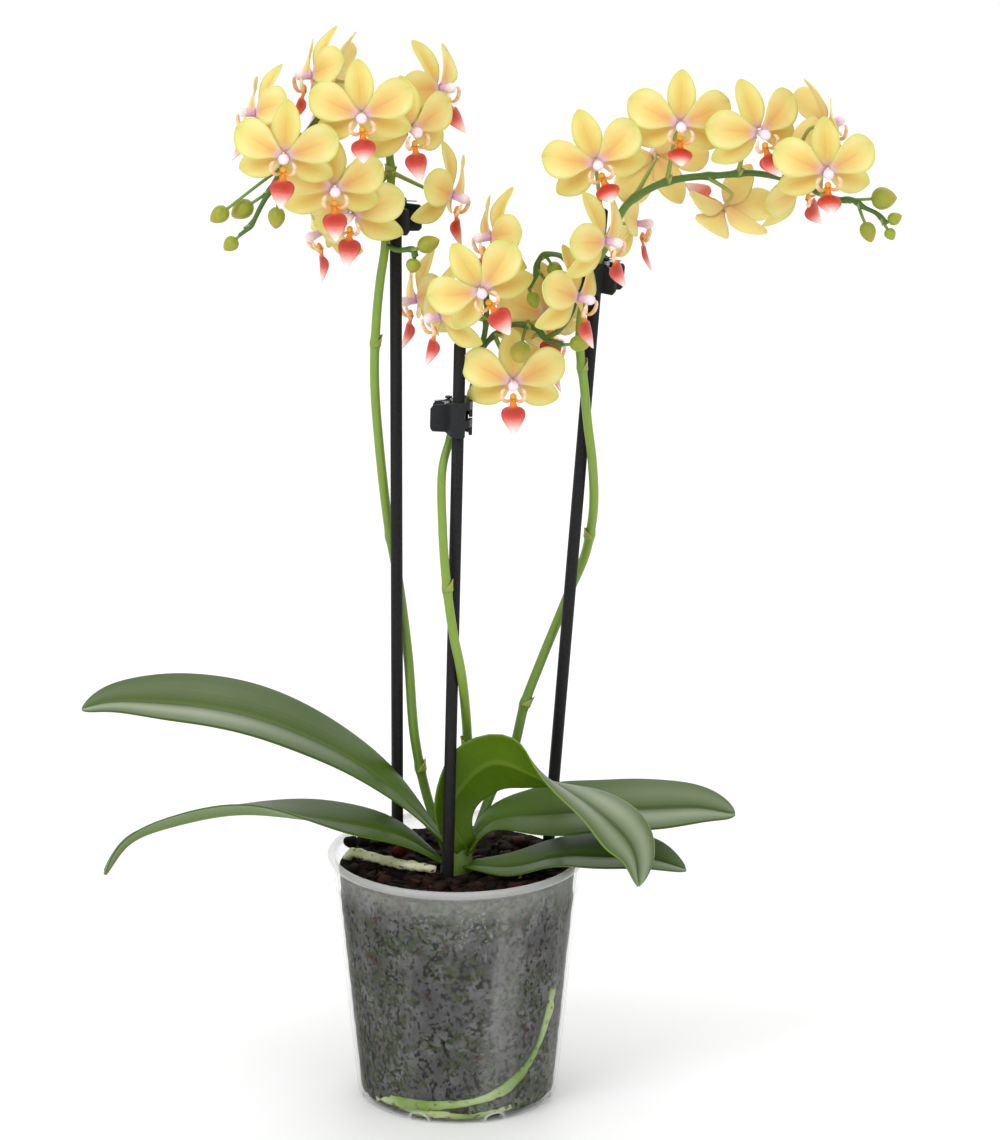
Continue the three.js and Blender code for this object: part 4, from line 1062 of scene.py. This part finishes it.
def leaf_rows(name, width, heading, stations):
    """The points of a blade, in rows across it from its root to its tip."""
    curve = Curve([s[:3] for s in stations])
    rolls = Curve([(20 * k, s[3], 0) for k, s in enumerate(stations)])
    right_hand = Vector((math.sin(math.radians(heading)), -math.cos(math.radians(heading)), 0))
    phase = random.Random(name).uniform(0, 6)
    rows = []
    for i in range(LEAF_ROWS + 1):
        u = min(math.sin(math.pi / 2 * i / LEAF_ROWS), 0.9995)
        node = curve.node(u)
        roll = math.radians(rolls.at(node).y)
        along = curve.tangent(node)
        level = (right_hand - along * right_hand.dot(along)).normalized()
        across = level * math.cos(roll) + level.cross(along) * math.sin(roll)
        normal = across.cross(along)
        half = leaf_half_width(width, u)
        fold = LEAF_FOLD * (min(u + 0.2, 1) if name == "leaf_folded" else 1)
        row = []
        for j in range(LEAF_COLUMNS):
            s = 2 * j / (LEAF_COLUMNS - 1) - 1
            rise = half * (fold * (math.sqrt(s * s + 0.004) - 0.063) - LEAF_DROOP * s * s)
            rise += 0.5 * s * s * math.sin(9 * u + phase + s) - LEAF_GROOVE * bell(s, 0.07)
            row.append(curve.at(node) + across * s * half + normal * rise)
        rows.append(row)
    for share in (0.5, -0.5) * LEAF_EASING:
        middle = zip(rows, rows[1:], rows[2:])
        eased = [[b + ((a + c) / 2 - b) * share for a, b, c in zip(*three)] for three in middle]
        rows = [rows[0]] + eased + [rows[-1]]
    return ease_inner_edge(rows) if name == "leaf_folded" else rows


def make_leaf(name, width, heading, stations, material):
    shine = LEAF_SHINE[name]
    edge = LEAF_PALE_EDGE if name == "leaf_folded" else LEAF_EDGE

    def front(s, u):
        # A grey sheen painted on each half as a painted reflection, strongest part way out to the edge and
        # fading in towards the root.
        painted_sheen = shine[s > 0] * bell(abs(s) - 0.45, 0.34) * min(max(u * 3 - 0.5, 0), 1)
        tint = blend(LEAF_DEEP, LEAF_PAINTED_SHEEN, painted_sheen)
        # A dark line of painted shade in the groove of the midrib, and a painted highlight along its other
        # side.
        tint = blend(tint, LEAF_GROOVE_SHADE, 0.75 * bell(s + 0.03, 0.045))
        tint = blend(tint, LEAF_RIB_HIGHLIGHT, 0.5 * bell(s - 0.07, 0.04))
        tint = blend(tint, edge, max(abs(s) - 0.95, 0) * 14)
        return blend(LEAF_ROOT, tint, 0.15 + u * 3)

    def back(s, u):
        return blend(LEAF_ROOT, blend(LEAF_UNDER, LEAF_KEEL, 0.6 * bell(s, 0.06)), 0.3 + u * 4)

    skin = Skin()
    thick = lambda s, u: LEAF_THICKNESS * (1 - 0.45 * abs(s)) * (1 - 0.3 * u)
    sheet(skin, leaf_rows(name, width, heading, stations), thick, front, back)
    settle(skin.piece(name + "_fine", [material]), [name])


# ---------------------------------------------------------------- flower spikes
STEM_FOOT, STEM_MIDDLE, STEM_TOP = rgb("4f7420"), rgb("82a038"), rgb("496e20")
BUD_GREEN, BUD_OLIVE, BUD_GOLD = rgb("9fb42c"), rgb("86862a"), rgb("bda33a")
SHEATH_TIP = rgb("a9a45e")
SHEATH_LENGTH = 5.5
SCALE_LENGTH = 3.6
NODE_SWELLING = 0.45
NODE_SPREAD = 2.4
BUD_STEPS = 12
SCALE_ROWS = 8
SCALE_HALF_COLUMNS = 5


def stem_radius(share):
    return STEM_RADIUS + (STEM_TIP_RADIUS - STEM_RADIUS) * share ** 2


def add_bud(skin, foot, centre, length, thickness):
    """A bud on a slightly bent stalk, with three soft seams."""
    reach = Vector(centre) - foot
    stalk = reach.length - length / 2
    straight = reach.normalized()
    bend = reach.cross(Vector((0, 0, 1))).normalized() * 0.5
    path = Curve([foot, foot + straight * stalk * 0.5 + bend, foot + straight * (stalk + 0.5)])
    taper = lambda share: 0.72 + 0.2 * (1 - share) ** 3
    tube(skin, path.fine, taper, lambda share: blend(STEM_TOP, STEM_MIDDLE, share), 8)
    profile = []
    for i in range(BUD_STEPS + 1):
        t = i / BUD_STEPS
        radius = thickness / 2 * math.sin(math.pi * t ** 0.8) ** 0.66
        profile.append((radius if 0 < i < BUD_STEPS else 0, stalk + length * t, t))
    age = min(length / 13, 1)
    tint = lambda share: blend(blend(BUD_GREEN, BUD_OLIVE, age * 0.5), BUD_GOLD, share ** 2 * age)
    seams = lambda turn: 1 - 0.06 * abs(math.cos(1.5 * turn)) ** 6
    turned(skin, profile, on_axis(foot, reach), tint, 24, 1, seams)


def add_scale(skin, curve, node, radius, towards, length, lean=0.5):
    """A pointed scale that clasps the stem at a node, its point on the side that it is turned towards."""
    along = curve.tangent(node)
    outward = (towards - along * towards.dot(along)).normalized()
    side = along.cross(outward)
    foot = curve.at(node) - along * length * 0.2
    rows = []
    for i in range(SCALE_ROWS + 1):
        u = i / SCALE_ROWS
        spread = math.radians(125) * max(1 - u ** 1.4, 0.02)
        reach = radius + 0.22 + lean * u ** 2
        row = []
        for j in range(2 * SCALE_HALF_COLUMNS + 1):
            turn = spread * (j / SCALE_HALF_COLUMNS - 1)
            row.append(foot + (outward * math.cos(turn) + side * math.sin(turn)) * reach + along * length * u)
        rows.append(row)
    tint = lambda s, u: blend(STEM_MIDDLE, SHEATH_TIP, u * 1.3 + 0.2 * abs(s))
    sheet(skin, rows, lambda s, u: 0.35, tint, tint)


def stem_shade(share):
    return blend(blend(STEM_FOOT, STEM_MIDDLE, share * 3.2), STEM_TOP, (share - 0.45) * 4)


def make_spike(name, spike, stem, bud):
    skin = Skin()
    stems = {key: Curve(points) for key, points in spike["stems"].items()}
    branchings = [(where, node, Vector(far)) for where, node, far, *_ in spike["buds"] + BLOOMS[name]]
    for key, curve in stems.items():
        last = len(curve.points) - 1
        plain = stem_radius if key == "main" else lambda share: BRANCH_RADIUS
        sheaths = spike["sheaths"] if key == "main" else ()
        here = [(node, far) for where, node, far in branchings if where == key]
        knots = [curve.at(node) for node in [node for node, _ in sheaths] + [node for node, _ in here]]

        def radius(share):
            place = curve.at(share * last)
            nearest = min([(place - knot).length for knot in knots] or [100])
            return plain(share) + NODE_SWELLING * bell(nearest, NODE_SPREAD)

        shade = stem_shade if key == "main" else lambda share: STEM_TOP
        tube(skin, Curve(curve.points, 24).fine, radius, shade, 14)
        for node, turn in sheaths:
            towards = Vector((math.cos(math.radians(turn)), math.sin(math.radians(turn)), 0.05))
            add_scale(skin, curve, node, plain(node / last) + NODE_SWELLING * 0.8, towards, SHEATH_LENGTH)
        for node, far in here:
            if 0 < node < last:
                add_scale(skin, curve, node, plain(node / last), far - curve.at(node), SCALE_LENGTH, 0.9)
    for key, node, *shape in spike["buds"]:
        add_bud(skin, stems[key].at(node), *shape)
    settle(skin.piece(name + "_fine", [stem, bud]), [name])


# ---------------------------------------------------------------- blooms
# (turn, length, width, lift, sweep back at the tip, whether it is a petal)
TEPALS = (
    (0, 22.5, 13, -0.7, 6.5, False),
    (113, 21.5, 13, -0.7, 8.5, False),
    (-113, 21.5, 13, -0.7, 8.5, False),
    (66, 22, 17.6, 1.4, 6, True),
    (-66, 22, 17.6, 1.4, 6, True),
)
TEPAL_ROOT = 1.5
TEPAL_ROOT_HALF = 1.7
TEPAL_CUP = 1.5
TEPAL_CURL = 2.2
TEPAL_GROOVE = 0.4
TEPAL_ROWS = 22
# How far the sides of a petal run ahead of its middle line, as a share of its length. It makes the end blunt.
PETAL_CORNER = 0.07
TEPAL_COLUMNS = 13
# How far along a blade is widest, and how blunt its end is, for a petal and for a sepal.
PETAL_WIDEST, PETAL_BLUNTNESS = 0.66, 2.7
SEPAL_WIDEST, SEPAL_BLUNTNESS = 0.5, 2.0
PETAL_LIFT = 1.4
PEDICEL_LEADS = (3, 8)

HEART, FLUSH, CREAM = rgb("ecc9dc"), rgb("eaa878"), rgb("eed67c")
PALE_EDGE, LIME, GOLD = rgb("f3eeae"), rgb("dbdb78"), rgb("dcb738")
LIP_ORANGE, LIP_RED, LIP_PINK, LIP_WHITE = rgb("e8930e"), rgb("b22c10"), rgb("dd6d58"), rgb("fbefea")
CALLUS_YELLOW = rgb("f0b030")
COLUMN_WHITE, COLUMN_PINK = rgb("f6e6ef"), rgb("e0b2d6")
LOBE_PEACH, LOBE_SPOT = rgb("f3d8b4"), rgb("e59a40")
STALK_PALE, STALK_GREEN = rgb("dcc98a"), rgb("93a548")

# The lip from its claw to its point: (y, half width, height of its ridge, colour).
LIP = (
    (-6.5, 1.5, 3.6, LIP_ORANGE), (-8.2, 1.2, 4.3, LIP_ORANGE), (-10, 1.7, 5.0, rgb("e0701a")),
    (-10.8, 3.6, 5.4, rgb("bd3716")), (-11.8, 4.8, 5.7, LIP_RED), (-13.4, 5.3, 6.0, rgb("bd2f1c")),
    (-15, 5.1, 6.5, rgb("cf4a3c")), (-17, 4.1, 7.1, rgb("e8948a")), (-19, 2.7, 7.7, rgb("f6d0c8")),
    (-21, 1.2, 8.3, LIP_WHITE), (-22, 0.15, 8.6, LIP_WHITE),
)
# Where the blade of the lip bends, as (y, z).
LIP_HINGE = (-9.6, 4.8)
# The blooms whose lip stands out towards the viewer, and by how many degrees.
LIP_LIFTS = {
    "bloom_right_01": 46, "bloom_right_05": 46, "bloom_right_06": 30, "bloom_right_09": 44,
    "bloom_left_04": 30,
}
# The middle line of the right-hand side lobe, from its root to its tip.
SIDE_LOBE = (
    (0.9, -6.9, 4.2), (2.8, -7.4, 5.4), (4.6, -6.3, 6.4),
    (5.3, -4.1, 7.2), (4.8, -2.1, 7.7), (3.9, -1.1, 7.6),
)
# The column and the callus before it as (radius, height, share of the tint).
COLUMN = (
    (0, 1.3, 0), (1.5, 1.3, 0), (1.6, 2.6, 0.2), (1.8, 4.2, 0.35), (2.2, 5.6, 0.5), (2.4, 6.8, 0.7),
    (2.2, 8, 0.9), (1.5, 9, 1), (0.7, 9.35, 1), (0, 9.4, 1),
)
CALLUS = ((0, -0.2, 0), (1.3, 0, 0), (1.6, 0.8, 0.4), (1.1, 1.6, 0.8), (0, 1.9, 1))


def tepal_half(width, u, is_petal):
    widest = PETAL_WIDEST if is_petal else SEPAL_WIDEST
    if u < widest:
        rise = math.sin(math.pi / 2 * u / widest) ** (1.5 if is_petal else 1.15)
        return TEPAL_ROOT_HALF + (width / 2 - TEPAL_ROOT_HALF) * rise
    past = (u - widest) / (1 - widest)
    return width / 2 * max(1 - past ** (PETAL_BLUNTNESS if is_petal else SEPAL_BLUNTNESS), 0) ** 0.66


def add_tepal(skin, matrix, draw, turn, length, width, lift, sweep, is_petal):
    spin = Matrix.Rotation(math.radians(turn + draw.uniform(-2, 2)), 4, "Z")
    length *= draw.uniform(0.97, 1.01)
    wave, phase = draw.uniform(0.3, 0.8), draw.uniform(0, 6)
    rows = []
    for i in range(TEPAL_ROWS + 1):
        u = math.sin(math.pi / 2 * i / TEPAL_ROWS)
        half = max(tepal_half(width, u, is_petal), 0.05)
        row = []
        for j in range(TEPAL_COLUMNS):
            s = 2 * j / (TEPAL_COLUMNS - 1) - 1
            belly = math.sin(math.pi * u)
            height = lift + TEPAL_CUP * s * s * belly + TEPAL_CURL * u * (1 - u) - sweep * u ** 1.5
            height += wave * s * abs(s) * math.sin(6 * u + phase) * belly
            height -= TEPAL_GROOVE * bell(s, 0.12) * belly
            reach = TEPAL_ROOT + u * length + (PETAL_CORNER * length * s * s * u ** 3 if is_petal else 0)
            row.append(matrix @ spin @ Vector((s * half, reach, height)))
        rows.append(row)
    glow = draw.uniform(-0.1, 0.1)
    gilt = 0.1 if is_petal else 0.35 if turn == 0 else 0.65

    def front(s, step):
        u = math.sin(math.pi / 2 * step)
        tint = blend(CREAM, GOLD, gilt * bell(s, 0.55) * math.sin(math.pi * min(u * 1.15, 1)))
        pale = 1.2 * max(abs(s) - 0.3, 0) + 1.3 * max(u - 0.5, 0) * (1 if is_petal else 0.5)
        tint = blend(tint, PALE_EDGE, pale)
        tint = blend(tint, FLUSH, bell(u, 0.42 + glow) * bell(s, 0.75) * (0.85 if is_petal else 0.35))
        tint = blend(tint, FLUSH, 0.5 * bell(s, 0.07) * math.sin(math.pi * min(u + 0.15, 1)))
        tint = blend(tint, HEART, 1.5 - u * length / 2.7)
        lime = 2.2 * max(u - 0.72, 0) + 2.2 * max(abs(s) - 0.74, 0) + (0 if is_petal else 0.25)
        return blend(tint, LIME, lime)

    def back(s, step):
        u = math.sin(math.pi / 2 * step)
        tint = blend(CREAM, PALE_EDGE, 0.3 + 0.4 * abs(s))
        return blend(tint, FLUSH, 0.55 - u)

    sheet(skin, rows, lambda s, u: 0.6 - 0.25 * abs(s), front, back)


def add_lip(skin, matrix, lift):
    """The lip with its side lobes and its callus. lift is how many degrees its blade is raised."""
    hinge = Vector((0, *LIP_HINGE))
    raising = Matrix.Rotation(math.radians(-lift), 3, "X")
    rows = []
    for half, y, ridge in Curve([(half, y, ridge) for y, half, ridge, _ in LIP], 3).fine:
        row = []
        for j in range(11):
            s = j / 5 - 1
            droop = 0.36 * half * s * s
            place = Vector((-s * max(half, 0.12), y, ridge - droop))
            if y < hinge.y:
                place = hinge + raising @ (place - hinge)
            row.append(matrix @ place)
        rows.append(row)

    def face(s, u):
        place = u * (len(LIP) - 1)
        k = min(int(place), len(LIP) - 2)
        tint = blend(LIP[k][3], LIP[k + 1][3], place - k)
        return blend(tint, LIP_PINK, 0.9 * (abs(s) - 0.6) if u > 0.3 else 0)

    under = lambda s, u: blend(LIP_ORANGE, blend(LIP_PINK, LIP_WHITE, 2 * u - 1), u * 4)
    sheet(skin, rows, lambda s, u: 0.7, face, under, 1)
    for hand in (1, -1):
        add_side_lobe(skin, matrix, hand)
    callus = matrix @ Matrix.Translation((0, -5.2, 3.4)) @ Matrix.Rotation(math.radians(20), 4, "X")
    turned(skin, CALLUS, callus, lambda share: blend(LIP_ORANGE, CALLUS_YELLOW, share), 10, 1)


def add_side_lobe(skin, matrix, hand):
    """A slender side lobe that bows out beside the column like a horn."""
    path = Curve([matrix @ Vector((x * hand, y, z)) for x, y, z in SIDE_LOBE])
    swell = lambda share: 0.3 + 0.65 * math.sin(math.pi * min(share * 0.9 + 0.08, 1)) ** 0.8
    fade = lambda share: blend(LOBE_SPOT, LOBE_PEACH, share * 2.4 - 0.3)
    tint = lambda share: blend(fade(share), LOBE_SPOT, 0.35 * math.sin(share * 22))
    tube(skin, path.fine, swell, tint, 8, 1)


def add_column(skin, matrix):
    turned(skin, COLUMN, matrix, lambda share: blend(COLUMN_PINK, COLUMN_WHITE, share * 2 - 0.5), 14, 1)


def bloom_matrix(centre, azimuth, elevation, roll):
    a, e = math.radians(azimuth), math.radians(elevation)
    facing = Vector((math.sin(a) * math.cos(e), -math.cos(a) * math.cos(e), math.sin(e)))
    level = Vector((0, 0, 1)).cross(facing).normalized()
    upright = facing.cross(level)
    turn = Matrix((level, upright, facing)).transposed().to_4x4()
    return Matrix.Translation(centre) @ turn @ Matrix.Rotation(math.radians(roll), 4, "Z")


def add_pedicel(skin, matrix, spike, stem, node):
    points = SPIKES[spike]["stems"][stem]
    curve = Curve(points)
    root = curve.at(node)
    along = curve.tangent(node)
    centre = matrix @ Vector((0, 0, PETAL_LIFT + 0.1))
    close, behind = [matrix @ Vector((0, 0, -lead)) for lead in PEDICEL_LEADS]
    outward = behind - root
    outward = (outward - along * outward.dot(along)).normalized()
    radius = stem_radius(node / (len(points) - 1)) if stem == "main" else BRANCH_RADIUS
    path = Curve([centre, close, behind, root + outward * radius * 0.5], 14)
    tint = lambda share: blend(STALK_PALE, STALK_GREEN, share * 1.2)
    thin = lambda share: 1.1 - 0.25 * math.sin(math.pi * share) + 1.5 * max(share - 0.9, 0)
    tube(skin, path.fine, lambda share: PEDICEL_RADIUS * thin(share), tint, 10, 2)


def make_bloom(name, spike, bloom, petal, lip, stem):
    stem_name, node, *pose = bloom
    matrix = bloom_matrix(*pose)
    draw = random.Random(name)
    skin = Skin()
    for tepal in TEPALS:
        add_tepal(skin, matrix, draw, *tepal)
    add_lip(skin, matrix, LIP_LIFTS.get(name, 0))
    add_column(skin, matrix)
    add_pedicel(skin, matrix, spike, stem_name, node)
    settle(skin.piece(name + "_fine", [petal, lip, stem]), [name])


# ---------------------------------------------------------------- surroundings
FLOOR_REACH = 8
WORLD_STRENGTH = 1.0
# The lamps as (name, place, size, power), and the point that they are turned to.
LAMPS = (
    ("key", (-1.5, -1.6, 2.3), 1.2, 24),
    ("fill", (1.8, -1.6, 1.2), 2.0, 4),
    ("back", (0.6, 1.8, 1.8), 1.6, 8),
)
LAMP_AIM = Vector((0, 0, 0.25))


def make_surroundings():
    data = bpy.data.meshes.new("floor")
    corners = [(FLOOR_REACH * x, FLOOR_REACH * y, 0) for x, y in ((-1, -1), (1, -1), (1, 1), (-1, 1))]
    data.from_pydata(corners, [], [(0, 1, 2, 3)])
    data.materials.append(floor_material())
    floor = bpy.data.objects.new("floor", data)
    bpy.context.scene.collection.objects.link(floor)
    floor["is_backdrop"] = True
    world = bpy.data.worlds.new("studio")
    world.use_nodes = True
    background = world.node_tree.nodes["Background"]
    background.inputs["Color"].default_value = (1, 1, 1, 1)
    background.inputs["Strength"].default_value = WORLD_STRENGTH
    bpy.context.scene.world = world
    bpy.context.scene.view_settings.view_transform = "Standard"
    for name, place, size, power in LAMPS:
        light = bpy.data.lights.new(name, "AREA")
        light.size = size
        light.energy = power
        lamp = bpy.data.objects.new(name, light)
        lamp.location = place
        lamp.rotation_euler = (LAMP_AIM - Vector(place)).to_track_quat("-Z", "Y").to_euler()
        bpy.context.scene.collection.objects.link(lamp)


# ---------------------------------------------------------------- the whole plant
def main():
    make_camera()
    make_surroundings()
    make_pot(pot_material())
    root = root_material()
    make_mix(mix_material(), bark_material(), root)
    make_roots(root)
    stem, petal, lip = stem_material(), petal_material(), lip_material()
    make_crown(stem)
    make_stakes(plastic_material("stake", "09080a", 0.5, 900))
    make_clips(plastic_material("clip", "14181b", 0.42, 1200), steel_material())
    leaf = leaf_material()
    for name, shape in LEAVES.items():
        make_leaf(name, *shape, leaf)
    bud = stem_material()
    for name, spike in SPIKES.items():
        make_spike(name, spike, stem, bud)
    for spike, blooms in BLOOMS.items():
        for number, bloom in enumerate(blooms, 1):
            make_bloom(f"bloom_{spike.removeprefix('spike_')}_{number:02d}", spike, bloom, petal, lip, stem)
    sizes = {"cad": CAD_BOX, "visual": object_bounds()}
    {key: [list(corner) for corner in box] for key, box in sizes.items()}


main()
